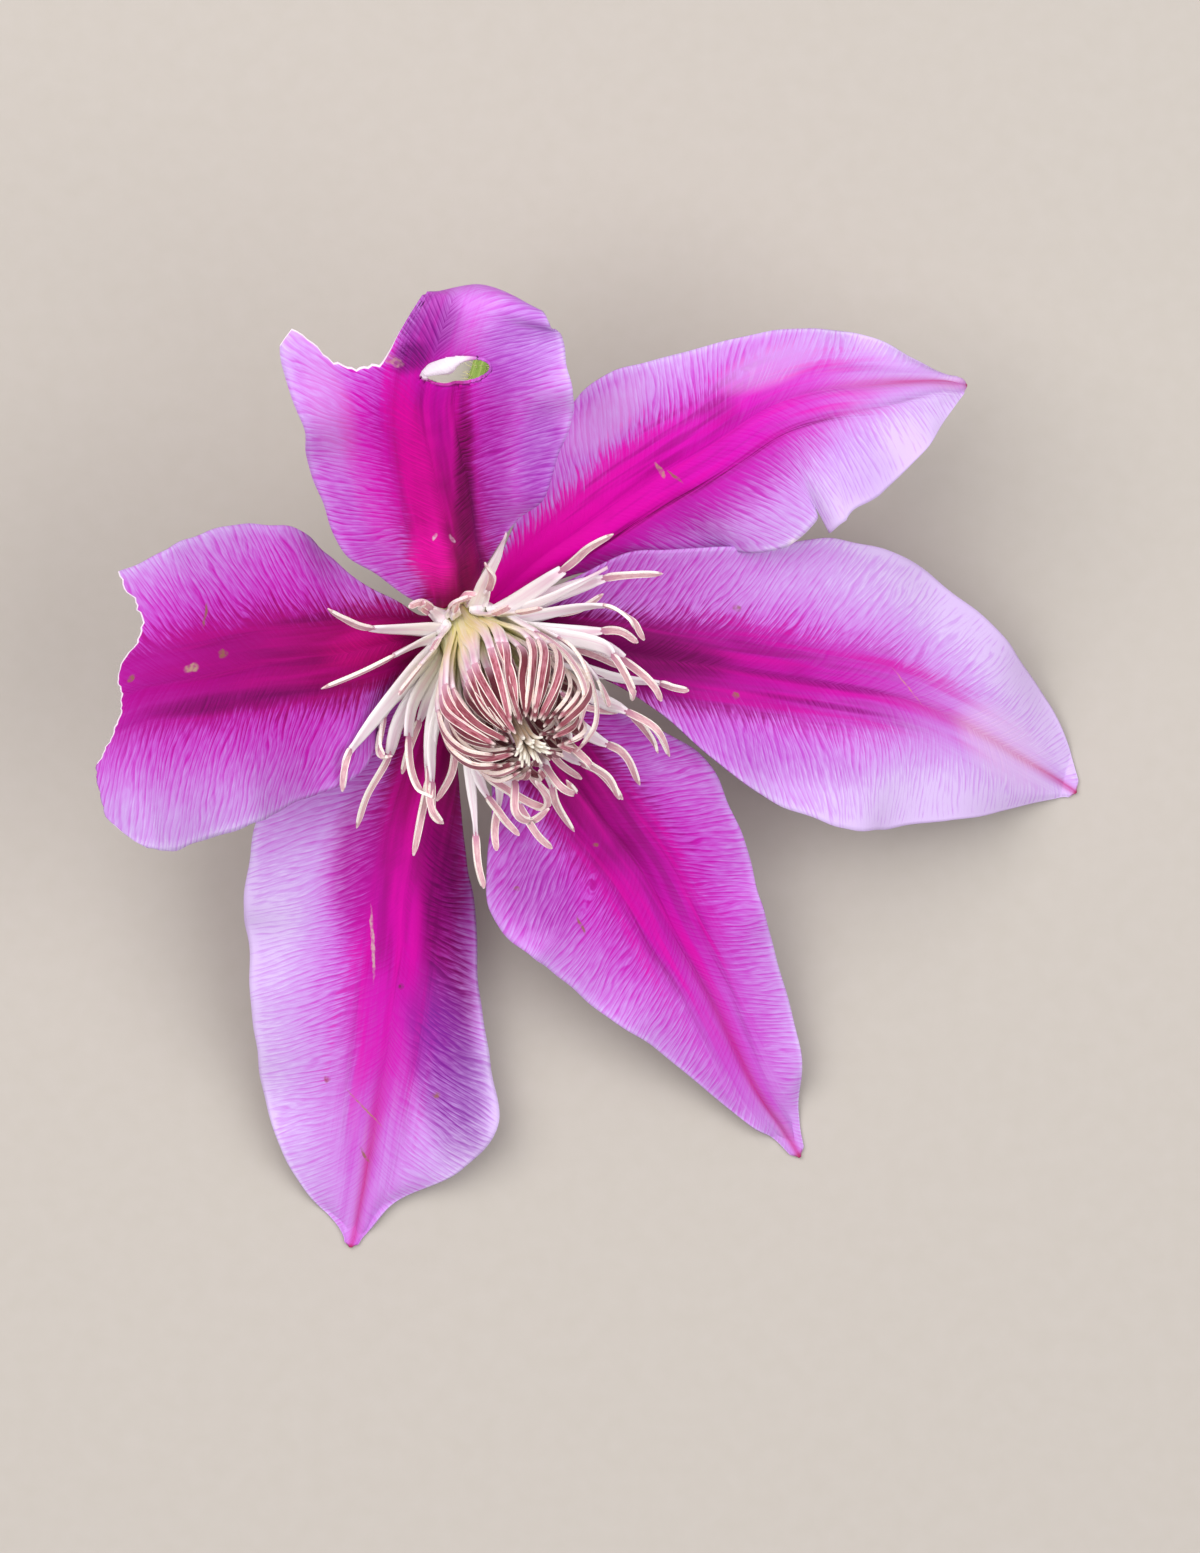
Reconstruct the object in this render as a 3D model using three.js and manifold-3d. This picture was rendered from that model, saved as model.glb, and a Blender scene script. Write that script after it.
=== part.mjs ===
// A large clematis flower, picked with a short stem and laid on a flat surface.
// Millimetres, +Z up. The origin is on the surface, below the middle of the flower's outline.
// Six sepals open from a small receptacle, with stamens and styles in the middle. The tips of the three
// lower sepals and the end of the stem touch the surface, so the flower's face leans to one side.
// Angles in the sepals' list are in degrees.

import * as THREE from 'three';
import Module from 'manifold-3d';
import { mergeVertices } from 'three/addons/utils/BufferGeometryUtils.js';

const wasm = await Module();
wasm.setup();

// Where the flower lies. The receptacle's middle is the point that every sepal is measured from.
const RECEPTACLE = new THREE.Vector3(-16.17, 18.01, 24);
const FACE_LEAN = THREE.MathUtils.degToRad(38);
const FACE_HEADING = THREE.MathUtils.degToRad(-62);

// Receptacle and stem. The receptacle's outline is a list of radius and height from the stem to the top.
const STEM_RADIUS = 1.5;
const RECEPTACLE_OUTLINE = [[0, -4.5], [STEM_RADIUS, -4.5], [2.3, -3], [3.9, -0.9], [3.9, 0], [0, 0]];
const STEM_SIDES = 10;
const STEM_STEPS = 14;
const ROUND_SIDES = 18;

// Sepals
const SEPAL_THICKNESS = 0.7;
const SEPAL_BASE_RADIUS = 4.6;
const SEPAL_BASE_DROP = 0.4;
const SEPAL_ROWS = 20;
const SEPAL_COLUMNS = 10;
const CUP_POWER = 1.7;          // how late across its half width a sepal starts to lift
const BASE_BLEND = 0.3;         // share of the length over which the base turns level
const RUFFLE_HEIGHT = 0.7;
const RUFFLE_FADE = 0.2;        // share of the length over which the ruffle dies out at the tip
const SURFACE_STEP = 1e-3;      // step in u and v for a surface normal
const HOLE_PLUG_DEPTH = 6;

// Stamens and styles, in the flower's own frame: radius from the axis, height above the receptacle
const STRAP_THICKNESS = 0.65;
const OUTER_COUNT = 26;
const OUTER_SPREAD = THREE.MathUtils.degToRad(276);
const OUTER_RING = { inner: 2.9, outer: 4.1, bottom: 0.4, top: 1.8 };
const OUTER_JITTER = 0.06;      // radians to either side of an even spacing
const OUTER_REACH = 18.5;
const OUTER_BACK_REACH = 23.5;
const OUTER_HEIGHT = 16.5;
const OUTER_CURL = 0.25;        // radians to either side at the tip
const OUTER_ROOT = [[3.5, 0.9], [5.4, 4.5]];
const OUTER_ARC = [[0.5, 0.62, 0.1], [0.78, 0.88, 0.4], [1, 1, 1]];  // shares of reach, height and curl
const OUTER_WIDTHS = [[0, 0.8], [0.2, 1.0], [0.4, 1.8], [0.58, 1.1], [0.66, 0.95], [1, 0.7]];
const OUTER_STEPS = 7;
const INNER_RING = { inner: 1.4, outer: 2.15, bottom: 0.4, top: 1.8 };
const INNER_WHORLS = [
  { count: 18, root: 1.9, girth: 1.0, height: 1.0, turn: 0, salt: 6 },
  { count: 13, root: 1.7, girth: 0.74, height: 0.95, turn: 0.2, salt: 8 },
];
const ROOT_HEIGHT = 0.9;
const INNER_ARC = [[3.1, 4.8], [5.6, 9.4], [7.7, 14.2], [8.3, 18.6], [6.8, 22.4], [4.4, 24.9]];
const INNER_SWIRL = THREE.MathUtils.degToRad(24);
const INNER_WIDTHS = [[0, 1.0], [0.25, 1.3], [0.5, 1.0], [1, 0.75]];
const INNER_STEPS = 8;
const STYLE_COUNT = 12;
const STYLE_COLUMN = { radius: 1.05, bottom: 0.4, top: 19 };
const STYLE_ARC = [[0.55, 14], [0.6, 21], [0.9, 24.2], [2.0, 26.8], [3.6, 28]];
const STYLE_WIDTHS = [[0, 0.7], [1, 0.6]];
const STYLE_STEPS = 6;

// Each sepal's stations run from base to tip:
// x, y, z of the rib from the receptacle, then half width and rise on the left hand, then on the right.
// The base itself sits on the receptacle's rim, at the angle round the flower's axis given as base.
const SEPALS = {
  sepal_top: {
    base: 171,
    heading: 95,
    ruffle: { waves: 4.5, phase: 0.4 },
    end: [[-1, 1], [0.1, 1], [0.22, 0.7], [0.32, 0.6], [0.45, 0.535], [0.75, 0.53], [0.92, 0.575], [1, 0.56]],
    hole: { u: 0.525, v: -0.02, length: 8, width: 3.6, turn: 8 },
    stations: [
      [0, 0, 0, 1.6, 0.3, 1.6, 0.3],
      [-0.8, 5.8, 8.0, 6.0, 1.2, 2.6, 0.8],
      [-1.0, 9.0, 14.0, 9.2, 2.2, 4.4, 1.4],
      [-1.2, 12.5, 19.2, 13.2, 2.6, 7.2, 2.0],
      [-1.6, 16.5, 24.4, 14.8, 2.6, 10.8, 2.4],
      [-1.8, 20.5, 29.2, 16.4, 2.2, 12.6, 2.2],
      [-1.8, 24.5, 33.6, 17.2, 1.6, 14.4, 1.6],
      [-1.4, 28.3, 37.3, 18.4, 0.8, 14.0, 0.6],
      [-0.8, 31.9, 40.2, 20.2, 0.0, 12.8, -0.5],
      [-0.1, 35.0, 42.0, 16.4, -1.5, 11.2, -2.0],
      [0.5, 37.4, 42.3, 12.0, -2.5, 9.4, -3.0],
      [0.9, 38.9, 40.6, 8.6, -3.0, 8.0, -3.2],
      [1.1, 39.2, 37.4, 5.6, -2.2, 5.6, -2.2],
      [1.1, 38.6, 34.0, 2.6, -0.8, 2.6, -0.8],
      [1.0, 37.6, 32.0, 0.6, 0, 0.6, 0],
    ],
  },
  sepal_upper_right: {
    base: 105,
    heading: 27,
    ruffle: { waves: 5, phase: 2.2 },
    tear: { u: 0.55, halfLength: 0.06, depth: 0.3 },
    stations: [
      [0, 0, 0, 1.6, 0.3, 1.6, 0.3],
      [8.8, 7.9, 2.0, 3.8, 1.0, 3.0, -0.4],
      [15.0, 12.2, 4.0, 9.0, 2.0, 6.0, -2.0],
      [22.1, 17.0, 6.4, 13.4, 2.2, 9.8, -4.2],
      [28.4, 20.9, 8.4, 12.4, 1.2, 12.4, -5.0],
      [35.5, 25.6, 9.4, 9.2, 0.0, 13.8, -4.4],
      [42.0, 27.8, 8.6, 7.6, -0.8, 15.2, -2.6],
      [48.2, 28.5, 7.0, 6.2, -0.8, 12.2, -1.6],
      [54.0, 28.8, 4.3, 3.0, -0.4, 7.0, -0.8],
      [58.0, 28.7, 2.2, 1.2, -0.2, 2.4, -0.2],
      [59.7, 28.5, 1.0, 0.6, 0, 0.6, 0],
    ],
  },
  sepal_right: {
    base: 51,
    heading: -13,
    ruffle: { waves: 5, phase: 4.0 },
    stations: [
      [0, 0, 0, 1.6, 0.3, 1.6, 0.3],
      [9.5, -1.3, -0.3, 5.6, 2.0, 2.0, 0.8],
      [16.6, -2.5, -0.6, 10.7, 4.2, 3.3, 1.5],
      [24.0, -4.0, -1.4, 13.0, 5.6, 6.3, 2.0],
      [32.6, -5.3, -2.8, 15.0, 4.4, 12.0, 2.0],
      [40.7, -6.5, -4.7, 17.2, 3.0, 15.5, 1.5],
      [48.8, -7.8, -7.2, 16.4, 0.8, 16.8, 0.8],
      [56.0, -10.0, -10.4, 13.4, -0.4, 15.5, 0.0],
      [62.5, -13.2, -14.4, 10.8, -1.0, 11.5, -0.8],
      [68.5, -16.8, -19.8, 7.8, -0.8, 6.2, -0.6],
      [72.5, -19.2, -23.7, 3.0, -0.2, 2.0, -0.2],
      [74.2, -20.3, -24.5, 0.7, 0, 0.7, 0],
    ],
  },
  sepal_lower_right: {
    base: 4,
    heading: -58,
    ruffle: { waves: 5, phase: 1.1 },
    stations: [
      [0, 0, 0, 1.6, 0.3, 1.6, 0.3],
      [7.0, -10.5, -2.4, 5.4, 0.8, 5.2, 1.0],
      [11.6, -16.7, -4.2, 10.2, 1.4, 10.7, 2.0],
      [16.5, -23.6, -6.5, 14.4, 1.8, 17.0, 2.5],
      [21.6, -30.4, -9.2, 13.0, 1.6, 16.2, 2.2],
      [25.5, -37.5, -12.2, 11.1, 1.0, 13.6, 1.6],
      [29.7, -45.0, -15.4, 9.2, 0.4, 9.6, 0.8],
      [34.9, -55.4, -20.0, 6.6, 0, 4.6, 0],
      [38.6, -61.0, -23.4, 2.4, 0, 1.8, 0],
      [40.7, -64.5, -24.5, 0.7, 0, 0.7, 0],
    ],
  },
  sepal_bottom: {
    base: -43,
    heading: -101,
    ruffle: { waves: 5, phase: 3.0 },
    stations: [
      [0, 0, 0, 1.6, 0.3, 1.6, 0.3],
      [-1.8, -8.0, -1.4, 2.0, -1.5, 4.5, 0.3],
      [-2.7, -13.0, -2.4, 2.4, -3.2, 9.6, 0.5],
      [-4.3, -19.0, -3.4, 3.8, -5.4, 15.0, 0.8],
      [-5.7, -24.4, -4.6, 5.2, -7.4, 18.4, 1.0],
      [-6.9, -31.5, -6.3, 7.1, -8.4, 19.2, 1.0],
      [-7.8, -38.4, -8.5, 8.8, -8.0, 18.7, 0.8],
      [-9.2, -45.5, -11.2, 10.9, -6.0, 16.8, 0.4],
      [-10.4, -52.2, -14.2, 13.4, -3.5, 15.0, 0.0],
      [-11.5, -58.5, -17.3, 15.1, -1.5, 13.0, 0.0],
      [-12.3, -64.3, -20.0, 11.3, -0.5, 10.0, 0.0],
      [-13.0, -69.5, -22.3, 4.6, 0.0, 6.2, 0.0],
      [-13.5, -73.5, -24.1, 1.6, 0.0, 1.6, 0.0],
      [-13.8, -75.4, -24.5, 0.7, 0, 0.7, 0],
    ],
  },
  sepal_left: {
    base: -126,
    heading: 192,
    ruffle: { waves: 4, phase: 5.1 },
    end: [[-1, 0.72], [-0.85, 0.76], [-0.6, 0.725], [-0.45, 0.72], [-0.25, 0.8], [-0.1, 0.8], [0.05, 0.84],
      [0.2, 0.86], [0.5, 1], [0.75, 1], [1, 0.93]],
    stations: [
      [0, 0, 0, 1.6, 0.3, 1.6, 0.3],
      [-6.4, -1.6, 3.4, 3.8, 0.2, 3.8, 1.0],
      [-10.4, -3.3, 7.1, 8.0, -1.0, 7.9, 2.0],
      [-15.0, -4.7, 11.0, 13.4, -2.4, 13.8, 2.5],
      [-20.0, -5.8, 14.8, 14.6, -3.4, 17.6, 2.8],
      [-26.0, -7.0, 18.7, 16.0, -3.0, 18.6, 2.5],
      [-32.0, -8.6, 22.1, 15.8, -2.2, 17.6, 1.6],
      [-38.0, -10.0, 24.6, 16.0, -1.4, 16.0, 0.5],
      [-41.5, -10.9, 25.7, 15.0, -1.2, 15.0, -0.5],
      [-44.0, -11.5, 26.2, 13.0, -1.0, 13.0, -1.0],
    ],
  },
};

// The stem leaves the back of the receptacle, bends over and lies on the surface below the top sepal.
const STEM_BEND = [[-2.5, 5.0, -7.4], [-3.2, 9.6, -13.2], [-2.6, 15.6, -18.4], [-0.6, 22.6, -21.8],
  [1.6, 29.0, -22.45], [3.2, 34.5, -22.45]];

const MATERIALS = {
  sepal: new THREE.MeshStandardMaterial({ color: 0xc14fc0, roughness: 0.6, metalness: 0 }),
  filament: new THREE.MeshStandardMaterial({ color: 0xf3e6da, roughness: 0.6, metalness: 0 }),
  anther: new THREE.MeshStandardMaterial({ color: 0xc98a93, roughness: 0.7, metalness: 0 }),
  style: new THREE.MeshStandardMaterial({ color: 0xf2ead2, roughness: 0.6, metalness: 0 }),
  stem: new THREE.MeshStandardMaterial({ color: 0x7d9a46, roughness: 0.6, metalness: 0 }),
};

// The flower's own frame: +Z along its axis, +X down the lean, seen from the receptacle's middle.
function flowerFrame() {
  const level = new THREE.Vector3(Math.cos(FACE_HEADING), Math.sin(FACE_HEADING), 0);
  const axis = level.clone().multiplyScalar(Math.sin(FACE_LEAN));
  axis.z = Math.cos(FACE_LEAN);
  const across = new THREE.Vector3(0, 0, 1).cross(level);
  return new THREE.Matrix4().makeBasis(across.clone().cross(axis), across, axis);
}

const FLOWER_FRAME = flowerFrame();

// A repeatable number from 0 to 1 for the piece with this number; salt tells its uses apart.
function scatter(number, salt) {
  const wave = Math.sin(number * 12.9898 + salt * 78.233) * 43758.5453;
  return wave - Math.floor(wave);
}

// A value changed by up to this share of itself, for the piece with this number
function vary(value, share, number, salt) {
  return value * (1 + share * (2 * scatter(number, salt) - 1));
}

function smoothstep(x) {
  const t = Math.min(Math.max(x, 0), 1);
  return t * t * (3 - 2 * t);
}

// Straight lines through a list of [place, value] points
function interpolate(points, place) {
  const next = points.findIndex(([x]) => x >= place);
  if (next <= 0) {
    return points[Math.max(next, 0)][1];
  }
  const [x0, y0] = points[next - 1];
  const [x1, y1] = points[next];
  return y0 + (y1 - y0) * (place - x0) / (x1 - x0);
}

function meshFromArrays(positions, index) {
  const geometry = new THREE.BufferGeometry();
  geometry.setAttribute('position', new THREE.Float32BufferAttribute(positions, 3));
  geometry.setIndex(index);
  geometry.computeVertexNormals();
  return geometry;
}

function toSolid(geometry) {
  const bare = geometry.clone();
  bare.deleteAttribute('normal');
  bare.deleteAttribute('uv');
  const merged = mergeVertices(bare, 1e-4);
  const vertProperties = new Float32Array(merged.attributes.position.array);
  const triVerts = new Uint32Array(merged.index.array);
  return new wasm.Manifold(new wasm.Mesh({ numProp: 3, vertProperties, triVerts }));
}

function fromSolid(solid) {
  const mesh = solid.getMesh();
  return meshFromArrays(Array.from(mesh.vertProperties), Array.from(mesh.triVerts));
}

function join(geometries) {
  return fromSolid(geometries.map(toSolid).reduce((whole, piece) => whole.add(piece)));
}

// Curves and directions that one sepal's surface is worked out from
function sepalForm(sepal) {
  const turn = THREE.MathUtils.degToRad(sepal.base);
  const base = new THREE.Vector3(Math.cos(turn), Math.sin(turn), 0).multiplyScalar(SEPAL_BASE_RADIUS);
  base.z = -SEPAL_BASE_DROP;
  base.applyMatrix4(FLOWER_FRAME);
  const heading = THREE.MathUtils.degToRad(sepal.heading);
  const ribs = sepal.stations.map(([x, y, z]) => new THREE.Vector3(x, y, z));
  ribs[0] = base;
  const widths = sepal.stations.map(([, , , left, , right]) => new THREE.Vector3(left, right, 0));
  const rises = sepal.stations.map(([, , , , left, , right]) => new THREE.Vector3(left, right, 0));
  return {
    rib: new THREE.CatmullRomCurve3(ribs, false, 'catmullrom'),
    width: new THREE.CatmullRomCurve3(widths, false, 'catmullrom'),
    rise: new THREE.CatmullRomCurve3(rises, false, 'catmullrom'),
    baseSide: new THREE.Vector3(-Math.sin(turn), Math.cos(turn), 0).applyMatrix4(FLOWER_FRAME),
    openSide: new THREE.Vector3(-Math.sin(heading), Math.cos(heading), 0),
    ruffle: sepal.ruffle,
    tear: sepal.tear,
  };
}

// Share of the half width that a tear in the right-hand margin leaves
function tearShare(tear, u, v) {
  if (!tear || v > 0) {
    return 1;
  }
  return 1 - tear.depth * Math.max(0, 1 - Math.abs(u - tear.u) / tear.halfLength);
}

// A point on a sepal: u from base to tip, v from the right-hand margin at -1 to the left-hand one at 1
function sepalPoint(form, u, v) {
  const along = form.rib.getTangent(u);
  const side = form.baseSide.clone().lerp(form.openSide, smoothstep(u / BASE_BLEND));
  side.addScaledVector(along, -side.dot(along)).normalize();
  const up = along.clone().cross(side);
  const width = form.width.getPoint(u);
  const rise = form.rise.getPoint(u);
  const reach = (v > 0 ? width.x : width.y) * tearShare(form.tear, u, v);
  const wave = Math.sin(2 * Math.PI * form.ruffle.waves * u + form.ruffle.phase + v);
  const fade = smoothstep(u / BASE_BLEND) * smoothstep((1 - u) / RUFFLE_FADE);
  const ruffle = RUFFLE_HEIGHT * wave * v * v * fade;
  const lift = (v > 0 ? rise.x : rise.y) * Math.abs(v) ** CUP_POWER + ruffle;
  return form.rib.getPoint(u).addScaledVector(side, reach * v).addScaledVector(up, lift);
}

function sepalNormal(form, u, v) {
  const u0 = Math.max(u - SURFACE_STEP, 0);
  const u1 = Math.min(u + SURFACE_STEP, 1);
  const v0 = Math.max(v - SURFACE_STEP, -1);
  const v1 = Math.min(v + SURFACE_STEP, 1);
  const alongU = sepalPoint(form, u1, v).sub(sepalPoint(form, u0, v));
  const alongV = sepalPoint(form, u, v1).sub(sepalPoint(form, u, v0));
  return alongU.cross(alongV).normalize();
}

// The two faces of a sepal as rows of points, level with the surface where they would go below it
function sepalFaces(sepal) {
  const form = sepalForm(sepal);
  const floor = -RECEPTACLE.z;
  const upper = [];
  const lower = [];
  for (let row = 0; row <= SEPAL_ROWS; row += 1) {
    for (let column = 0; column <= SEPAL_COLUMNS; column += 1) {
      const v = 2 * column / SEPAL_COLUMNS - 1;
      const u = row / SEPAL_ROWS * (sepal.end ? interpolate(sepal.end, v) : 1);
      const middle = sepalPoint(form, u, v);
      const normal = sepalNormal(form, u, v).multiplyScalar(SEPAL_THICKNESS / 2);
      const above = middle.clone().add(normal);
      const below = middle.sub(normal);
      below.z = Math.max(below.z, floor);
      above.z = Math.max(above.z, floor + SEPAL_THICKNESS);
      upper.push(above);
      lower.push(below);
    }
  }
  return { upper, lower };
}

// The margin as a loop of point numbers, anticlockwise seen from the upper face
function marginLoop(rows, columns) {
  const at = (row, column) => row * (columns + 1) + column;
  const loop = [];
  for (let row = 0; row < rows; row += 1) {
    loop.push(at(row, 0));
  }
  for (let column = 0; column < columns; column += 1) {
    loop.push(at(rows, column));
  }
  for (let row = rows; row > 0; row -= 1) {
    loop.push(at(row, columns));
  }
  for (let column = columns; column > 0; column -= 1) {
    loop.push(at(0, column));
  }
  return loop;
}

// A closed blade between two faces, both split into triangles along the same diagonals
function bladeGeometry({ upper, lower }, rows, columns) {
  const index = [];
  const under = upper.length;
  for (let row = 0; row < rows; row += 1) {
    for (let column = 0; column < columns; column += 1) {
      const a = row * (columns + 1) + column;
      const b = a + columns + 1;
      index.push(a, b, b + 1, a, b + 1, a + 1);
      index.push(under + a, under + b + 1, under + b, under + a, under + a + 1, under + b + 1);
    }
  }
  const loop = marginLoop(rows, columns);
  loop.forEach((a, place) => {
    const b = loop[(place + 1) % loop.length];
    index.push(under + a, under + b, b, under + a, b, a);
  });
  return meshFromArrays([...upper, ...lower].flatMap((point) => point.toArray()), index);
}

// A plug through a sepal, to be cut away where it has a hole
function holePlug(sepal) {
  const { u, v, length, width, turn } = sepal.hole;
  const form = sepalForm(sepal);
  const outline = new THREE.Shape();
  outline.absellipse(0, 0, length / 2, width / 2, 0, 2 * Math.PI);
  const plain = { depth: HOLE_PLUG_DEPTH, bevelEnabled: false, curveSegments: 7 };
  const plug = new THREE.ExtrudeGeometry(outline, plain);
  plug.translate(0, 0, -HOLE_PLUG_DEPTH / 2);
  plug.rotateZ(THREE.MathUtils.degToRad(turn));
  const normal = sepalNormal(form, u, v);
  const across = new THREE.Vector3(1, 0, 0).addScaledVector(normal, -normal.x).normalize();
  const frame = new THREE.Matrix4().makeBasis(across, normal.clone().cross(across), normal);
  frame.setPosition(sepalPoint(form, u, v));
  return plug.applyMatrix4(frame);
}

function makeSepal(name, sepal) {
  let blade = bladeGeometry(sepalFaces(sepal), SEPAL_ROWS, SEPAL_COLUMNS);
  if (sepal.hole) {
    blade = fromSolid(toSolid(blade).subtract(toSolid(holePlug(sepal))));
  }
  return namedMesh(name, blade, MATERIALS.sepal);
}

function namedMesh(name, geometry, material) {
  const mesh = new THREE.Mesh(geometry, material);
  mesh.name = name;
  return mesh;
}

function polar(radius, azimuth, height) {
  return new THREE.Vector3(radius * Math.cos(azimuth), radius * Math.sin(azimuth), height);
}

// A closed ring or disc round the flower's axis
function ringGeometry({ inner, outer, bottom, top }) {
  const profile = [[inner, bottom], [outer, bottom], [outer, top], [inner, top], [inner, bottom]];
  const points = profile.map(([x, y]) => new THREE.Vector2(x, y));
  return new THREE.LatheGeometry(points, ROUND_SIDES).rotateX(Math.PI / 2);
}

// A flat strap along a path, with its width laid across the azimuth that it grows at
function strapGeometry(points, azimuth, widths, steps) {
  const path = new THREE.CatmullRomCurve3(points, false, 'catmullrom');
  const across = new THREE.Vector3(-Math.sin(azimuth), Math.cos(azimuth), 0);
  const corners = [[1, 1], [-1, 1], [-1, -1], [1, -1]];
  const positions = [];
  const index = [0, 3, 2, 0, 2, 1];
  for (let step = 0; step <= steps; step += 1) {
    const centre = path.getPoint(step / steps);
    const along = path.getTangent(step / steps);
    const side = across.clone().addScaledVector(along, -across.dot(along)).normalize();
    const flat = along.clone().cross(side).multiplyScalar(STRAP_THICKNESS / 2);
    side.multiplyScalar(interpolate(widths, step / steps) / 2);
    for (const [a, b] of corners) {
      positions.push(...centre.clone().addScaledVector(side, a).addScaledVector(flat, b).toArray());
    }
  }
  for (let step = 0; step < steps; step += 1) {
    for (let corner = 0; corner < 4; corner += 1) {
      const a = step * 4 + corner;
      const b = step * 4 + (corner + 1) % 4;
      index.push(a, b, b + 4, a, b + 4, a + 4);
    }
  }
  const last = steps * 4;
  index.push(last, last + 1, last + 2, last, last + 2, last + 3);
  return meshFromArrays(positions, index);
}

// One outer stamen: it rises beside the ball of inner ones, leans out and curls to one side
function outerStamen(number) {
  const place = number / (OUTER_COUNT - 1) - 0.5;
  const azimuth = OUTER_SPREAD * place + OUTER_JITTER * (2 * scatter(number, 1) - 1);
  const openReach = THREE.MathUtils.lerp(OUTER_REACH, OUTER_BACK_REACH, (2 * place) ** 2);
  const reach = vary(openReach, 0.15, number, 2);
  const height = vary(OUTER_HEIGHT, 0.15, number, 3);
  const curl = OUTER_CURL * (2 * scatter(number, 4) - 1);
  const root = OUTER_ROOT.map(([radius, rise]) => polar(radius, azimuth, rise));
  const arc = OUTER_ARC.map(([out, up, round]) => polar(out * reach, azimuth + round * curl, up * height));
  return strapGeometry([...root, ...arc], azimuth, OUTER_WIDTHS, OUTER_STEPS);
}

// One inner stamen: it bows out and back in over the top of the ball
function innerStamen(whorl, number) {
  const azimuth = 2 * Math.PI * (number / whorl.count) + whorl.turn;
  const girth = vary(whorl.girth, 0.04, number, whorl.salt);
  const height = vary(whorl.height, 0.03, number, whorl.salt + 1);
  const arc = INNER_ARC.map(([radius, rise], place) => {
    const swirl = INNER_SWIRL * ((place + 1) / INNER_ARC.length) ** 2;
    return polar(radius * girth, azimuth + swirl, rise * height);
  });
  const root = polar(whorl.root, azimuth, ROOT_HEIGHT);
  return strapGeometry([root, ...arc], azimuth, INNER_WIDTHS, INNER_STEPS);
}

function style(number) {
  const azimuth = 2 * Math.PI * number / STYLE_COUNT;
  const points = STYLE_ARC.map(([radius, height]) => polar(radius, azimuth, height));
  return strapGeometry(points, azimuth, STYLE_WIDTHS, STYLE_STEPS);
}

function countTo(count, make) {
  return Array.from({ length: count }, (_, number) => make(number));
}

function makeOuterStamens() {
  return join([ringGeometry(OUTER_RING), ...countTo(OUTER_COUNT, outerStamen)]);
}

function makeInnerStamens() {
  const whorls = INNER_WHORLS.map((whorl) => countTo(whorl.count, (number) => innerStamen(whorl, number)));
  return join([ringGeometry(INNER_RING), ...whorls.flat()]);
}

function makeStyles() {
  const { radius, bottom, top } = STYLE_COLUMN;
  const column = new THREE.CylinderGeometry(radius, radius, top - bottom, STEM_SIDES);
  column.rotateX(Math.PI / 2).translate(0, 0, (top + bottom) / 2);
  return join([column, ...countTo(STYLE_COUNT, style)]);
}

// Receptacle and stem, measured from the receptacle's middle
function makeStalk() {
  const points = RECEPTACLE_OUTLINE.map(([x, y]) => new THREE.Vector2(x, y));
  const receptacle = new THREE.LatheGeometry(points, ROUND_SIDES).rotateX(Math.PI / 2);
  receptacle.applyMatrix4(FLOWER_FRAME);
  const start = new THREE.Vector3(0, 0, -2).applyMatrix4(FLOWER_FRAME);
  const bend = STEM_BEND.map((place) => new THREE.Vector3(...place));
  const extrudePath = new THREE.CatmullRomCurve3([start, ...bend], false, 'catmullrom');
  const section = new THREE.Shape();
  section.absarc(0, 0, STEM_RADIUS, 0, 2 * Math.PI);
  const sweep = { extrudePath, steps: STEM_STEPS, curveSegments: STEM_SIDES };
  return join([receptacle, new THREE.ExtrudeGeometry(section, sweep)]);
}

function makeFlower() {
  const flower = new THREE.Group();
  flower.position.copy(RECEPTACLE);
  for (const [name, sepal] of Object.entries(SEPALS)) {
    flower.add(makeSepal(name, sepal));
  }
  flower.add(namedMesh('stalk', makeStalk(), MATERIALS.stem));
  const middle = new THREE.Group();
  middle.applyMatrix4(FLOWER_FRAME);
  middle.add(namedMesh('outer_stamens', makeOuterStamens(), MATERIALS.filament));
  middle.add(namedMesh('inner_stamens', makeInnerStamens(), MATERIALS.anther));
  middle.add(namedMesh('styles', makeStyles(), MATERIALS.style));
  flower.add(middle);
  return flower;
}

const clematis = new THREE.Group();
clematis.add(makeFlower());

export default clematis;
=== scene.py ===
"""A large clematis flower, picked with a short stem and laid face up, seen from straight above.

Sizes are in millimetres and become metres when a mesh is written. The flower's own frame has +Z along
its axis and +X down its lean. Every sepal is measured from the middle of the receptacle.
"""

import logging
import math
from contextlib import contextmanager
from dataclasses import dataclass
from enum import Enum
from typing import Any, Callable, Iterator, Sequence

import bpy
import numpy as np
from mathutils import Matrix, Vector


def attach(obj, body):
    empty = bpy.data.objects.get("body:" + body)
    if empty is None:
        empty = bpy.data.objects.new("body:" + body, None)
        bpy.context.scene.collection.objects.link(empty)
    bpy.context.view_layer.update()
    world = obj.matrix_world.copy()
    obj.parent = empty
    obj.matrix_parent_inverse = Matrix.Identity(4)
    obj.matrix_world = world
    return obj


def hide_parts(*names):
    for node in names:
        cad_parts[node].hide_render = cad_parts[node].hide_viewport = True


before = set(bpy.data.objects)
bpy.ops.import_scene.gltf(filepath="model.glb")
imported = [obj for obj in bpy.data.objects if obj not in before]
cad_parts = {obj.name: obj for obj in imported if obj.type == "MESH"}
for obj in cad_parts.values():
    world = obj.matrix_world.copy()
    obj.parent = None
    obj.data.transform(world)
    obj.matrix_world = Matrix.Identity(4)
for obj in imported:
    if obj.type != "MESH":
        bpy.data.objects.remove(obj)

logging.basicConfig(level=logging.INFO, format="%(message)s")
report = logging.getLogger("clematis")

Rows = np.ndarray
Piece = bpy.types.Object
Curve = Sequence[tuple[float, float]]

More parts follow.
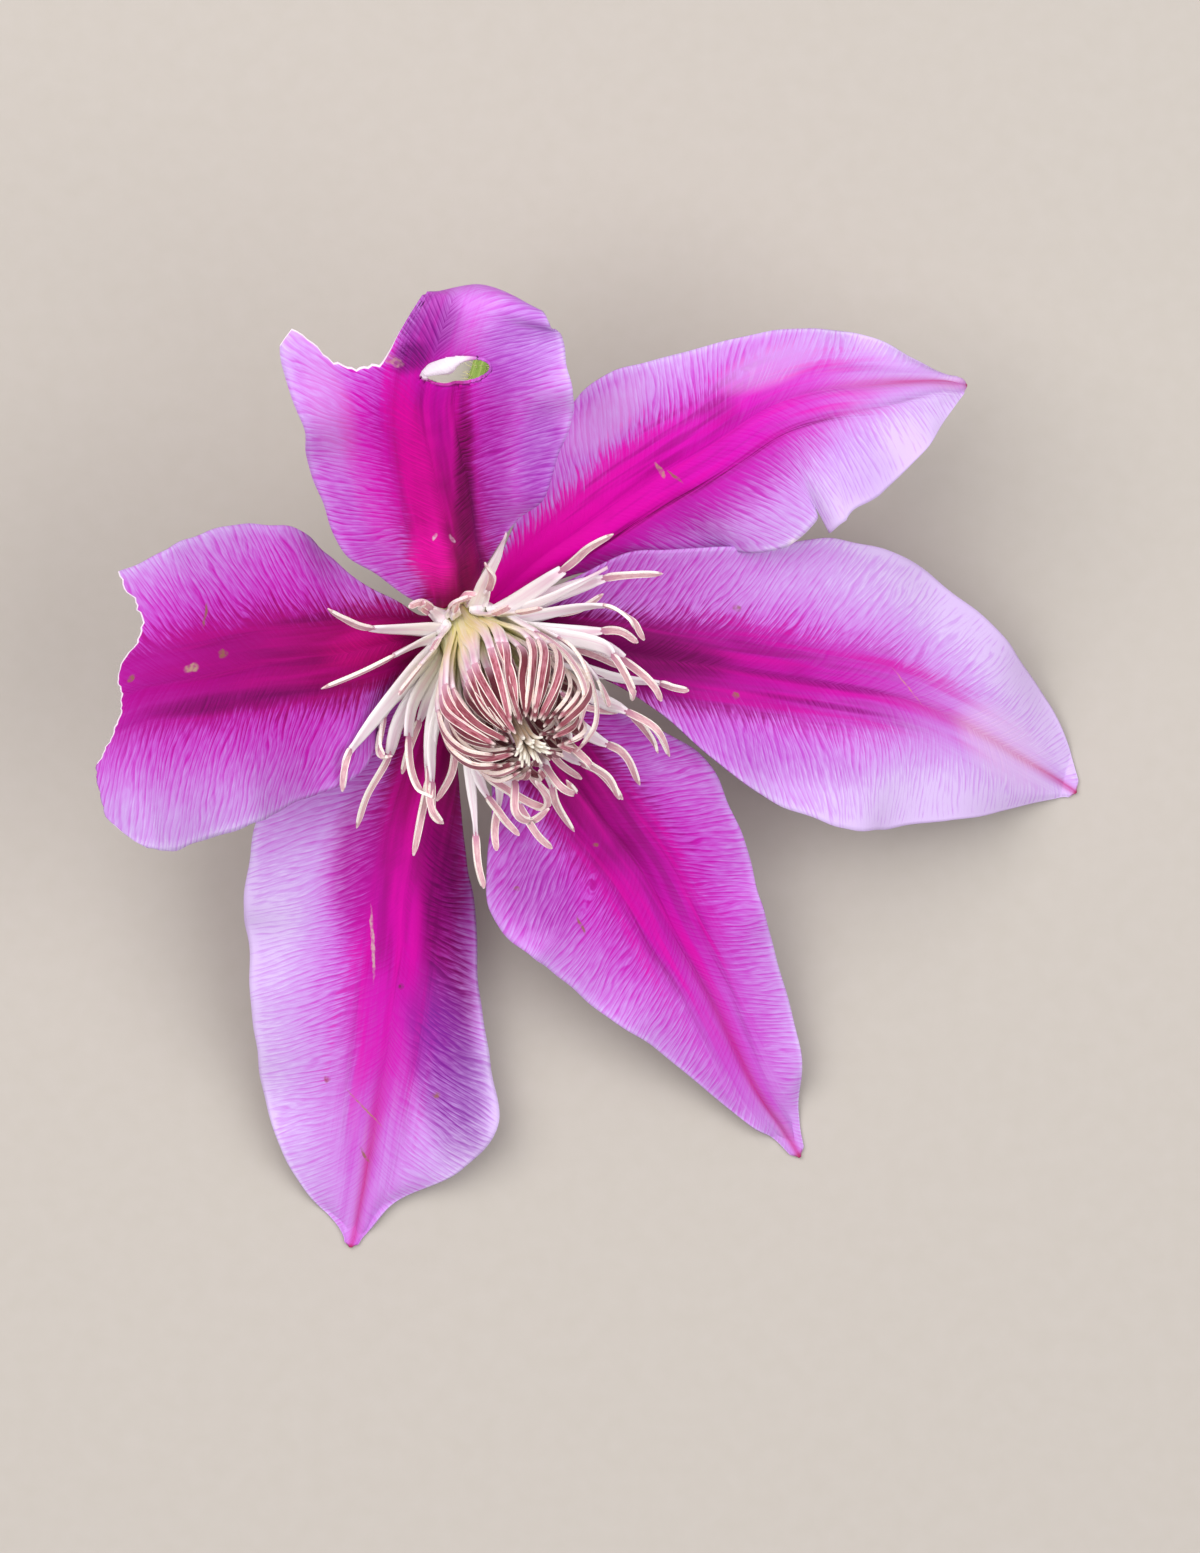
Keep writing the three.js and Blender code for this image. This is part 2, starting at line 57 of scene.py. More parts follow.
MM = 0.001
FULL_TURN = 2 * math.pi
GOLDEN_ANGLE = 2.39996

# Where the middle of the receptacle is, how far the flower leans and which way.
RECEPTACLE = np.array((-16.17, 18.01, 24.0))
FACE_LEAN = math.radians(38)
FACE_HEADING = math.radians(-62)

# The form that all the sepals share: the rim that they leave, their cup, ruffle, relief and tip.
SEPAL_THICKNESS = 0.6
BASE_RADIUS = 4.6
BASE_DROP = 0.4
BASE_TUCK = 1.2
BASE_BLEND = 0.3
BASE_STATION = (0, 0, 0, 1.6, 0.3, 1.6, 0.3)
CUP_POWER = 1.7
RUFFLE_HEIGHT = 0.7
RUFFLE_FADE = 0.2
GROOVE_WIDTH = 0.5
GROOVE_DEPTH = 0.26
GROOVE_PLACE = 0.66
PUFF_HEIGHT = 0.22
FRILL_HEIGHT = 0.2
SWAY_HEIGHT = 0.3
TIP_START = 0.972
TIP_LENGTH = 0.028
TIP_TAPER = 0.72

# How a side vein runs: its lean, and how far and how fast it curves forwards near the rib.
VEIN_LEAN = 0.45
VEIN_CURVE = 3.0
VEIN_RATE = 0.38

# Noise scales, for a noise that is read in metres.
GRAIN_SCALE = 5200
CELL_SCALE = 7000


def ease(x: Rows) -> Rows:
    """A smooth step from 0 to 1 as x goes from 0 to 1."""
    t = np.clip(x, 0.0, 1.0)
    return t * t * (3 - 2 * t)


def bell(x: Rows, width: float | Rows) -> Rows:
    """A bell curve over x, which is 1 at 0 and about 0.37 at this width."""
    return np.exp(-(x / width) ** 2)


def along_curve(x: Rows, curve: Curve) -> Rows:
    """The height at x of straight lines drawn through pairs of place and height."""
    return np.interp(x, *zip(*curve))


def scatter(number: float, salt: float) -> float:
    """A repeatable number from 0 to 1 for the piece with this number; salt tells its uses apart."""
    return math.sin(number * 12.9898 + salt * 78.233) * 43758.5453 % 1.0


def spread(number: float, salt: float, most: float) -> float:
    """A repeatable number from -most to most for the piece with this number."""
    return most * (2 * scatter(number, salt) - 1)


def unit(rows: Rows) -> Rows:
    """Each row scaled to length 1."""
    return rows / np.maximum(np.linalg.norm(rows, axis=-1, keepdims=True), 1e-12)


def sideways(angle: float) -> Rows:
    """The level direction a quarter turn on from this angle in radians."""
    return np.array((-math.sin(angle), math.cos(angle), 0.0))


def polar(radius: float, azimuth: float, height: float) -> tuple[float, float, float]:
    """A point in the flower's frame from its radius, its azimuth in radians and its height."""
    return (radius * math.cos(azimuth), radius * math.sin(azimuth), height)


def flower_axes() -> Rows:
    """The flower's own axes as the columns of a turn from its frame to the row's.

    Returns:
        The three axes.
    """
    level = np.array((math.cos(FACE_HEADING), math.sin(FACE_HEADING), 0.0))
    axis = math.sin(FACE_LEAN) * level + math.cos(FACE_LEAN) * np.array((0.0, 0.0, 1.0))
    across = np.cross((0.0, 0.0, 1.0), level)
    return np.column_stack([np.cross(across, axis), across, axis])


FLOWER_AXES = flower_axes()


class Spline:
    """A uniform Catmull-Rom curve through a list of points."""

    def __init__(self, points: Sequence[Sequence[float]]) -> None:
        """Keeps the points, with one reflected past each end.

        Args:
            points: the points that the curve passes, from its start to its end.
        """
        rows = np.array(points, float)
        self.spans = len(rows) - 1
        self.rows = np.vstack([2 * rows[0] - rows[1], rows, 2 * rows[-1] - rows[-2]])

    def at(self, share: Rows) -> Rows:
        """Points of the curve.

        Args:
            share: how far along each point is, from 0 to 1.

        Returns:
            One row for each share.
        """
        place = np.clip(share, 0, 1) * self.spans
        first = np.minimum(place.astype(int), self.spans - 1)
        t = (place - first)[:, None]
        before, start, end, after = (self.rows[first + step] for step in range(4))
        leave, arrive = (end - before) / 2, (after - start) / 2
        bend = -3 * start + 3 * end - 2 * leave - arrive
        return start + t * (leave + t * (bend + t * (2 * start - 2 * end + leave + arrive)))

    def heading(self, share: Rows) -> Rows:
        """Unit directions of the curve at these shares of the way."""
        return unit(self.at(np.minimum(share + 1e-4, 1)) - self.at(np.maximum(share - 1e-4, 0)))


# Meshes.


def start_fresh() -> None:
    """Deselects everything, so that an operator acts on the new primitive alone."""
    if bpy.context.object and bpy.context.object.mode != "OBJECT":
        bpy.ops.object.mode_set(mode="OBJECT")
    bpy.ops.object.select_all(action="DESELECT")


def pick(piece: Piece) -> None:
    """Makes the piece the selected and active object.

    Args:
        piece: the object.
    """
    start_fresh()
    piece.select_set(True)
    bpy.context.view_layer.objects.active = piece


def settle(name: str) -> Piece:
    """Names the primitive that was just added and applies its place.

    Args:
        name: the new object's name.

    Returns:
        The object.
    """
    bpy.ops.object.transform_apply(location=True, rotation=False, scale=False)
    bpy.context.object.name = name
    return bpy.context.object


def add_object(name: str, data: bpy.types.ID) -> Piece:
    """Puts a mesh, a lamp or a camera in the scene as an object of its own.

    Args:
        name: the object's name.
        data: its mesh, lamp or camera.

    Returns:
        The object.
    """
    made = bpy.data.objects.new(name, data)
    bpy.context.collection.objects.link(made)
    return made


@contextmanager
def editing(piece: Piece) -> Iterator[None]:
    """Edit mode on this piece for as long as the block runs.

    Args:
        piece: the object.
    """
    pick(piece)
    bpy.ops.object.mode_set(mode="EDIT")
    yield
    bpy.ops.object.mode_set(mode="OBJECT")


def points_of(mesh: bpy.types.Mesh) -> Rows:
    """The vertices' places as rows.

    Args:
        mesh: the mesh.

    Returns:
        One row for each vertex.
    """
    flat = np.empty(len(mesh.vertices) * 3)
    mesh.vertices.foreach_get("co", flat)
    return flat.reshape(-1, 3)


def set_points(mesh: bpy.types.Mesh, rows: Rows) -> None:
    """Moves the vertices to these places."""
    mesh.vertices.foreach_set("co", np.ascontiguousarray(rows, dtype=np.float32).ravel())
    mesh.update()


def note(mesh: bpy.types.Mesh, name: str, *columns: Any) -> None:
    """Writes three numbers for each vertex as a named attribute that a material can read.

    Args:
        mesh: the mesh that gets the attribute.
        name: the attribute's name.
        columns: the first, second and third numbers, each a column or one number for all.
    """
    rows = np.empty((len(mesh.vertices), 3), np.float32)
    for place, column in enumerate(columns):
        rows[:, place] = column
    layer = mesh.attributes.get(name) or mesh.attributes.new(name, "FLOAT_VECTOR", "POINT")
    layer.data.foreach_set("vector", rows.ravel())


def noted(mesh: bpy.types.Mesh, name: str) -> Rows:
    """The rows that note() wrote under this name.

    Args:
        mesh: the mesh.
        name: the attribute's name.

    Returns:
        Three numbers for each vertex.
    """
    flat = np.empty(len(mesh.vertices) * 3, np.float32)
    mesh.attributes[name].data.foreach_get("vector", flat)
    return flat.reshape(-1, 3).astype(float)


def finish_modifier(piece: Piece, kind: str, **settings: Any) -> None:
    """Adds a modifier and applies it.

    Args:
        piece: the object that it changes.
        kind: Blender's name for the kind of modifier.
        settings: the modifier's settings by name.
    """
    pick(piece)
    bpy.ops.object.modifier_add(type=kind)
    modifier = piece.modifiers[-1]
    for name, value in settings.items():
        setattr(modifier, name, value)
    bpy.ops.object.modifier_apply(modifier=modifier.name)


def cut_across(axis: int, places: Sequence[float]) -> None:
    """Cuts the mesh in edit mode by planes square to one of its axes.

    Args:
        axis: 0, 1 or 2 for X, Y or Z.
        places: where along the axis the planes stand.
    """
    square = [0.0, 0.0, 0.0]
    square[axis] = 1.0
    for place in places:
        bpy.ops.mesh.select_all(action="SELECT")
        bpy.ops.mesh.bisect(plane_co=[place * way for way in square], plane_no=square)


def even_places(count: int) -> list[float]:
    """Where this many cuts stand that part a length of 1 evenly."""
    return [cut / (count + 1) for cut in range(1, count + 1)]


def select_parts(piece: Piece, chosen: Rows, mode: str) -> None:
    """Selects edges or faces by number, from edit mode and back to it.

    Args:
        piece: the object in edit mode.
        chosen: one true or false for each edge or face.
        mode: EDGE or FACE.
    """
    bpy.ops.mesh.select_mode(type=mode)
    bpy.ops.mesh.select_all(action="DESELECT")
    bpy.ops.object.mode_set(mode="OBJECT")
    parts = {"EDGE": piece.data.edges, "FACE": piece.data.polygons}[mode]
    parts.foreach_set("select", np.ascontiguousarray(chosen, dtype=bool))
    bpy.ops.object.mode_set(mode="EDIT")


def hand_over(piece: Piece, node: str) -> Piece:
    """Lets a finished piece stand for a CAD node.

    Args:
        piece: the finished piece.
        node: the CAD node that it replaces.

    Returns:
        The same piece.
    """
    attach(piece, "root")
    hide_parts(node)
    faces = sum(len(face.vertices) - 2 for face in piece.data.polygons)
    report.info("%s: %d triangles", piece.name, faces)
    return piece


# Materials.


def linear(code: str) -> tuple[float, float, float, float]:
    """A colour written RRGGBB as the shader's linear red, green and blue, opaque.

    Args:
        code: the colour.

    Returns:
        Red, green, blue and alpha.
    """
    parts = [int(code[place:place + 2], 16) / 255 for place in (0, 2, 4)]
    red, green, blue = (x / 12.92 if x <= 0.04045 else ((x + 0.055) / 1.055) ** 2.4 for x in parts)
    return (red, green, blue, 1.0)


def math_method(operation: str, swapped: bool = False) -> Callable[..., "Wire"]:
    """A method for Wire that adds one Math node.

    Args:
        operation: the node's operation.
        swapped: whether the other operand comes first.

    Returns:
        The method, whose operands are the Wire itself and the values that it is called with.
    """
    def method(self: "Wire", *others: Any) -> "Wire":
        """Adds the node."""
        operands = (*others, self) if swapped else (self, *others)
        return self.bench.node("ShaderNodeMath", {"operation": operation}, dict(enumerate(operands)))

    return method


class Wire:
    """One output socket. Python's operators on it add Math nodes."""

    def __init__(self, bench: "Bench", socket: bpy.types.NodeSocket) -> None:
        """Keeps the socket and the bench that its nodes are added on."""
        self.bench = bench
        self.socket = socket

    __add__ = __radd__ = math_method("ADD")
    __sub__ = math_method("SUBTRACT")
    __rsub__ = math_method("SUBTRACT", swapped=True)
    __mul__ = __rmul__ = math_method("MULTIPLY")
    __truediv__ = math_method("DIVIDE")
    __pow__ = math_method("POWER")
    __abs__ = math_method("ABSOLUTE")
    above = math_method("GREATER_THAN")
    exp = math_method("EXPONENT")
    sine = math_method("SINE")

    def rise(self, low: float, high: float) -> "Wire":
        """A smooth step from 0 to 1 as this value goes from low to high."""
        return self.bench.node("ShaderNodeMapRange", {"interpolation_type": "SMOOTHSTEP"},
                               {"Value": self, "From Min": low, "From Max": high})

    def fall(self, low: float, high: float) -> "Wire":
        """A smooth step from 1 to 0 as this value goes from low to high."""
        return 1 - self.rise(low, high)


class Bench:
    """The node tree of one material, and the only place where its nodes are added."""

    def __init__(self, name: str) -> None:
        """Starts a material with this name and a bare Principled shader.

        Args:
            name: the material's name.
        """
        self.material = bpy.data.materials.new(name)
        self.material.use_nodes = True
        self.tree = self.material.node_tree
        self.shader = self.tree.nodes["Principled BSDF"]

    def node(self, kind: str, settings: dict[str, Any] | None = None,
             sockets: dict[Any, Any] | None = None, output: Any = 0) -> Wire:
        """Adds one node.

        Args:
            kind: Blender's name for the node's type.
            settings: its properties by name, set before its sockets; stops are a ramp's.
            sockets: a value or a Wire for each named or numbered input.
            output: the output to return, by name or number.

        Returns:
            The chosen output.
        """
        made = self.tree.nodes.new(kind)
        for name, value in (settings or {}).items():
            if name == "stops":
                self._set_stops(made.color_ramp, value)
            else:
                setattr(made, name, value)
        for name, value in (sockets or {}).items():
            self.feed(made.inputs[name], value)
        return Wire(self, made.outputs[output])

    @staticmethod
    def _set_stops(ramp: bpy.types.ColorRamp, stops: Sequence[tuple[float, str]]) -> None:
        """Gives a ramp its stops.

        Args:
            ramp: the ramp.
            stops: each stop's place and its colour, RRGGBB.
        """
        while len(ramp.elements) < len(stops):
            ramp.elements.new(0.5)
        for element, (place, code) in zip(ramp.elements, stops):
            element.position = place
            element.color = linear(code)

    def feed(self, socket: bpy.types.NodeSocket, value: Any) -> None:
        """Links a Wire to a socket, or sets the socket's own value.

        Args:
            socket: the socket.
            value: the Wire or the value.
        """
        if isinstance(value, Wire):
            self.tree.links.new(value.socket, socket)
        else:
            socket.default_value = value

    def numbers(self, name: str) -> list[Wire]:
        """The three numbers of a vertex attribute."""
        return self.parts(self.node("ShaderNodeAttribute", {"attribute_name": name}, output="Vector"))

    def parts(self, row: Wire) -> list[Wire]:
        """A vector's X, Y and Z."""
        split = self.node("ShaderNodeSeparateXYZ", sockets={0: row})
        return [Wire(self, output) for output in split.socket.node.outputs]

    def here(self) -> Wire:
        """The place on the object, in metres."""
        return self.node("ShaderNodeTexCoord", output="Object")

    def row(self, x: Any, y: Any, z: Any) -> Wire:
        """A vector of three values."""
        return self.node("ShaderNodeCombineXYZ", sockets={0: x, 1: y, 2: z})

    def noise(self, where: Wire, scale: float, detail: float = 2.0, roughness: float = 0.5) -> Wire:
        """Soft noise from 0 to 1, with its middle near a half."""
        return self.node("ShaderNodeTexNoise", sockets={
            "Vector": where, "Scale": scale, "Detail": detail, "Roughness": roughness})

    def layers(self, colour: Any, *coats: tuple[Any, Any]) -> Any:
        """Lays colours over one another.

        Args:
            colour: the lowest colour, a Wire or RRGGBB.
            coats: from the bottom up, each upper colour and how much of it shows.

        Returns:
            The mixed colour.
        """
        for coat, share in coats:
            below, above = (linear(side) if isinstance(side, str) else side for side in (colour, coat))
            colour = self.node("ShaderNodeMix", {"data_type": "RGBA"}, {0: share, 6: below, 7: above}, 2)
        return colour

    def dress(self, colour: Any, roughness: Any, height: Any, relief: float, **even: Any) -> None:
        """Feeds the shader.

        Args:
            colour: the base colour.
            roughness: the roughness, even or from nodes.
            height: the bump's height from 0 to 1.
            relief: how high the bump stands, in millimetres.
            even: values that are the same all over, by socket name with _ for spaces.
        """
        bump = self.node("ShaderNodeBump", sockets={
            "Strength": 1.0, "Distance": relief * MM, "Height": height})
        fed = {"Base Color": colour, "Roughness": roughness, "Normal": bump, **even}
        for name, value in fed.items():
            self.feed(self.shader.inputs[name.replace("_", " ")], value)


class Finish:
    """What all finishes share: each lays its colours out on a bench of its own."""

    def make(self, name: str) -> bpy.types.Material:
        """Makes the material.

        Args:
            name: the material's name.

        Returns:
            The material.
        """
        bench = Bench(name)
        self.wire(bench)
        return bench.material

    def wire(self, bench: Bench) -> None:
        """Adds the finish's nodes."""
        raise NotImplementedError


@dataclass(frozen=True)
class Mark:
    """A small mark on a sepal, mostly a blemish, a few of them painted glints: its middle from the
    receptacle, half sizes, turn in degrees and colour.
    """

    x: float
    y: float
    long: float
    wide: float
    turn: float = 0.0
    code: str = "9A6A4C"


@dataclass(frozen=True)
class TintAndShadingPatch:
    """A broad soft patch of colour on a sepal, mostly painted shade and painted light, some a tint of its
    own: its middle, half sizes, turn, colour and strength.
    """

    x: float
    y: float
    long: float
    wide: float
    turn: float
    code: str
    strength: float


@dataclass(frozen=True)
class SepalFace(Finish):
    """The upper face of a sepal, whose colour runs from the magenta bar out to the pale lilac margin.

    core and middle colour the bar, and the core has faded at core_end; from sepal to sepal they are partly
    painted light and painted shade. shade is painted shade near the base, under the stamens, the strength
    of fold_shade is painted shade to the right of the rib, dim darkens it all over, and lift says how much
    paler.
    """

    seed: float
    core: str
    middle: str
    shade: float = 0.0
    lift: float = 0.0
    core_end: float = 0.5
    fold_shade_strength: float = 0.0
    tint_and_shading_patches: tuple[TintAndShadingPatch, ...] = ()
    marks: tuple[Mark, ...] = ()
    run: tuple[tuple[float, str], ...] = (
        (0.0, "BE009A"), (0.14, "C804AC"), (0.28, "CE26C0"), (0.5, "D25CDA"), (0.74, "D894EE"),
        (0.9, "DCB0F6"), (1.0, "E6CAFC"))
    # colour of the bright streaks, partly painted highlight on the bar's ridges
    streak_highlight: str = "F408B4"
    deep: str = "7C005A"
    # colour of the painted shade to the right of the rib
    fold_shade: str = "A41C98"
    dim: float = 0.1
    ridge: str = "C8107C"
    tip: str = "B02450"
    torn: str = "F4E4F2"

    def wire(self, bench: Bench) -> None:
        """Lays the bar, its grooves, painted light and shade, patches, marks and torn edges on the veined
        blade.

        Args:
            bench: the material's bench.
        """
        across, along, spine = bench.numbers("span")
        share, out, hurt = bench.numbers("place")
        band, groove, pale = bench.numbers("rib")
        veins, thread = self._veins(bench, across, along)
        streak = bench.noise(bench.row(across * 0.7, along * 0.045, self.seed), 1.0, 2.0, 0.6)
        hair = bench.noise(bench.row(across * 4.5, along * 0.14, self.seed + 5), 1.0, 1.5)
        soft = bench.noise(bench.row(across, along, self.seed + 9), 0.12, 2) - 0.5
        inner = (band - veins * 1.5 + soft * 0.5).fall(0.7, 1.35)
        lines = (0.5 - streak) * 0.3 + (hair - 0.5) * 0.16
        edge = abs(out).rise(0.9, 1.0) * 0.14
        place = (pale - veins * (1.35 - pale * 0.75) * (1 - inner * 0.7) + lines * inner + soft * 0.14
                 + edge + self.lift)
        bright, low = inner * share.fall(0.55, 0.8), inner * share.fall(0.4, 0.66)
        # painted shade on the right of the rib, where the raised bar turns away from the lamps
        right_side = 1 - across.above(0.0)
        below = band.rise(0.6, 0.75) * (band - veins).fall(1.1, 2.0) * right_side * share.fall(0.3, 0.75)
        # painted shade in the bar's grooves
        groove_shade = groove * (bright + 0.3) * (0.2 + (streak + hair).fall(0.75, 1.15) * 0.7)
        x, y, _ = bench.parts(bench.here())
        colour = bench.layers(
            bench.node("ShaderNodeValToRGB", {"stops": self.run}, {0: place}),
            (self.middle, inner * share.fall(self.core_end - 0.15, self.core_end + 0.25) * 0.6),
            (self.core, inner * share.fall(0.1, self.core_end)),
            # bright and dark streaks, partly painted highlight and painted shade on the bar's relief
            (self.streak_highlight, streak.rise(0.46, 0.68) * bright * 0.5),
            (self.deep, streak.fall(0.32, 0.5) * low * 0.45),
            (self.deep, soft.rise(0.0, 0.3) * low * 0.4),
            # painted shade to the right of the rib
            (self.fold_shade, below * self.fold_shade_strength),
            (self.ridge, spine * (0.65 + (hair - 0.5) * 0.8)),
            # painted shade in the grooves, then painted shade near the base under the stamens
            (self.deep, groove_shade),
            (self.deep, place.fall(0.3, 0.9) * share.fall(0.06, 0.4) * self.shade),
            (self.tip, share.rise(TIP_START, 0.996) * 0.85),
            # patches of tint, painted shade and painted light, then blemishes and painted glints
            *(self._patch(x, y, tint_and_shading_patch, soft, veins) for tint_and_shading_patch in self.tint_and_shading_patches),
            *(self._mark_coat(x, y, mark) for mark in self.marks),
            ("000000", self.dim),
            (self.torn, hurt.rise(0.4, 0.8)))
        cells = bench.noise(bench.here(), CELL_SCALE, 1)
        height = 0.9 - veins + thread * 0.2 + hair * 0.12 + cells * 0.12
        bench.dress(colour, 0.55 + thread * 0.14 - streak * 0.06, height, 0.045, Sheen_Weight=0.02,
                    Sheen_Roughness=0.4, Sheen_Tint=linear("E9B8FF"), Specular_IOR_Level=0.1)

    def _veins(self, bench: Bench, across: Wire, along: Wire) -> tuple[Wire, Wire]:
        """The side veins, which leave the bar forwards and curve out to the margin.

        Args:
            bench: the material's bench.
            across: millimetres from the rib.
            along: millimetres from the base.

        Returns:
            How dark the veins are, about 0 on the average, and the fine noise drawn out along them.
        """
        side = abs(across)
        hand = across.above(0.0) * 31 + self.seed
        start = along - side * VEIN_LEAN - VEIN_CURVE * (1 - (side * -VEIN_RATE).exp())
        drift = bench.noise(bench.row(start * 0.2, side * 0.07, hand), 1.0, 2.0) - 0.5
        fork = bench.noise(bench.row(start * 0.55, side * 0.2, hand + 3), 1.0, 1.5) - 0.5
        shown = bench.noise(bench.row(start * 0.8, side * 0.28, hand + 11), 1.0, 1.0).rise(0.3, 0.65)
        thread = bench.noise(bench.row(start * 3.6, side * 0.7, hand), 1.0, 1.5)
        main = ((start + drift * 4.5) * 8.2 + fork * 5.0).sine().rise(-0.2, 1.0)
        twig = ((start + drift * 4.5) * 16.4 + fork * 11.0).sine().rise(0.0, 1.0)
        return main * (0.06 + shown * 0.17) + twig * 0.1 + (thread - 0.5) * 0.46 - 0.11, thread

    @staticmethod
    def _reach(x: Wire, y: Wire, mark: Mark | TintAndShadingPatch) -> tuple[Wire, Wire]:
        """How far a place lies along and across a mark.

        Args:
            x: the place along the row's X, in metres.
            y: the place along the row's Y, in metres.
            mark: the mark or the patch.

        Returns:
            The two distances, in the mark's half sizes.
        """
        turn = math.radians(mark.turn)
        right = x / MM - (RECEPTACLE[0] + mark.x)
        up = y / MM - (RECEPTACLE[1] + mark.y)
        ahead = (right * math.cos(turn) + up * math.sin(turn)) / mark.long
        return ahead, (up * math.cos(turn) - right * math.sin(turn)) / mark.wide

    def _patch(self, x: Wire, y: Wire, tint_and_shading_patch: TintAndShadingPatch, soft: Wire, veins: Wire) -> tuple[str, Wire]:
        """A patch of tint, painted shade and painted light alike, as a coat of colour.

        Args:
            x: the place along the row's X, in metres.
            y: the place along the row's Y, in metres.
            tint_and_shading_patch: the patch.
            soft: the noise that breaks its outline.
            veins: how dark the veins are, which show through it.

        Returns:
            Its colour and how much of it shows.
        """
        ahead, beside = self._reach(x, y, tint_and_shading_patch)
        ring = (ahead * ahead + beside * beside + soft * 0.8).fall(0.0, 1.2)
        return tint_and_shading_patch.code, ring * (tint_and_shading_patch.strength * (1 + veins * 2.0))

    def _mark_coat(self, x: Wire, y: Wire, mark: Mark) -> tuple[str, Wire]:
        """A mark, blemish and painted glint alike, as a coat of colour.

        Args:
            x: the place along the row's X, in metres.
            y: the place along the row's Y, in metres.
            mark: the mark.

        Returns:
            Its colour and how much of it shows.
        """
        bench = x.bench
        ahead, beside = self._reach(x, y, mark)
        wobble = bench.noise(bench.row(x, y, self.seed), 900, 2) - 0.5
        reach = ahead * ahead + (beside + wobble * 2.4) ** 2
        broken = bench.noise(bench.row(x, y, self.seed + 4), 1500, 1).rise(0.36, 0.6)
        return mark.code, reach.fall(0.2, 1.3) * (0.25 + broken * 0.6)


@dataclass(frozen=True)
class SepalBack(Finish):
    """The underside of a sepal: dull mauve, with a pale greenish ribbed bar down its middle."""

    margin: str = "D9B2E2"
    mauve: str = "BE7CC6"
    bar: str = "D8C8C0"
    rib: str = "B9BE8C"
    vein: str = "A55FB4"
    blush: str = "B85AA8"
    torn: str = "F4EEE2"

    def wire(self, bench: Bench) -> None:
        """Lays the veins, the ribbed bar and the margin over the mauve.

        Args:
            bench: the material's bench.
        """
        across, along, _ = bench.numbers("span")
        share, out, hurt = bench.numbers("place")
        band, groove, pale = bench.numbers("rib")
        side = abs(across)
        hand = across.above(0.0) * 31
        sweep = side * VEIN_LEAN + VEIN_CURVE * (1 - (side * -VEIN_RATE).exp())
        feather = bench.noise(bench.row((along - sweep) * 1.05, side * 0.17, hand), 1.0, 2.0, 0.55)
        streak = bench.noise(bench.row(across * 1.5, along * 0.06, 3.0), 1.0, 2.5, 0.6)
        lateral = feather.rise(0.42, 0.62)
        inner = (band + (feather - 0.5) * -1.2).fall(0.5, 1.3)
        colour = bench.layers(
            self.margin,
            (self.mauve, pale.fall(0.3, 0.95)),
            (self.vein, lateral * 0.55),
            (self.bar, inner * 0.85),
            (self.blush, streak.rise(0.5, 0.7) * inner * 0.5),
            (self.rib, groove * 0.85),
            (self.rib, share.fall(0.02, 0.25) * 0.8),
            (self.margin, abs(out).rise(0.95, 1.0) * 0.6),
            (self.torn, hurt.rise(0.4, 0.75)))
        down = bench.noise(bench.here(), GRAIN_SCALE, 2)
        bench.dress(colour, 0.55 + down * 0.15, lateral * 0.4 + streak * 0.4 + down * 0.3, 0.06,
                    Sheen_Weight=0.35, Sheen_Roughness=0.45, Specular_IOR_Level=0.3)


@dataclass(frozen=True)
class FilamentFinish(Finish):
    """A stamen's filament: a white strap, yellow at the root, with pink along its middle.

    blush is how pink it is, and yellow the shares of its length between which the yellow fades.
    """

    blush: float
    yellow: tuple[float, float]
    white: str = "FFFCFC"
    pink: str = "F2C2DA"
    cream: str = "FFFAD2"
    root: str = "F4EC84"
    shade: str = "C888AC"

    def wire(self, bench: Bench) -> None:
        """Lays the pink and then the yellow of the root over the white.

        Args:
            bench: the material's bench.
        """
        across, along, number = bench.numbers("strap")
        fine = bench.noise(bench.row(across * 3.2, along * 2.2, number * 17.3), 1.0, 2.5, 0.6)
        middle = abs(across).fall(0.1, 0.75)
        low, high = self.yellow
        colour = bench.layers(
            self.white,
            (self.pink, middle * fine.rise(0.3, 0.7) * self.blush),
            (self.shade, along.rise(0.68, 1.0) * self.blush * (0.35 + middle * 0.5)),
            (self.cream, along.fall(low, high)),
            (self.root, along.fall(low, high * 0.8) * fine.rise(0.35, 0.65) * 0.8))
        bench.dress(colour, 0.42 + fine * 0.15, fine * 0.8 + middle * 0.3, 0.05, Sheen_Weight=0.15,
                    Specular_IOR_Level=0.45)


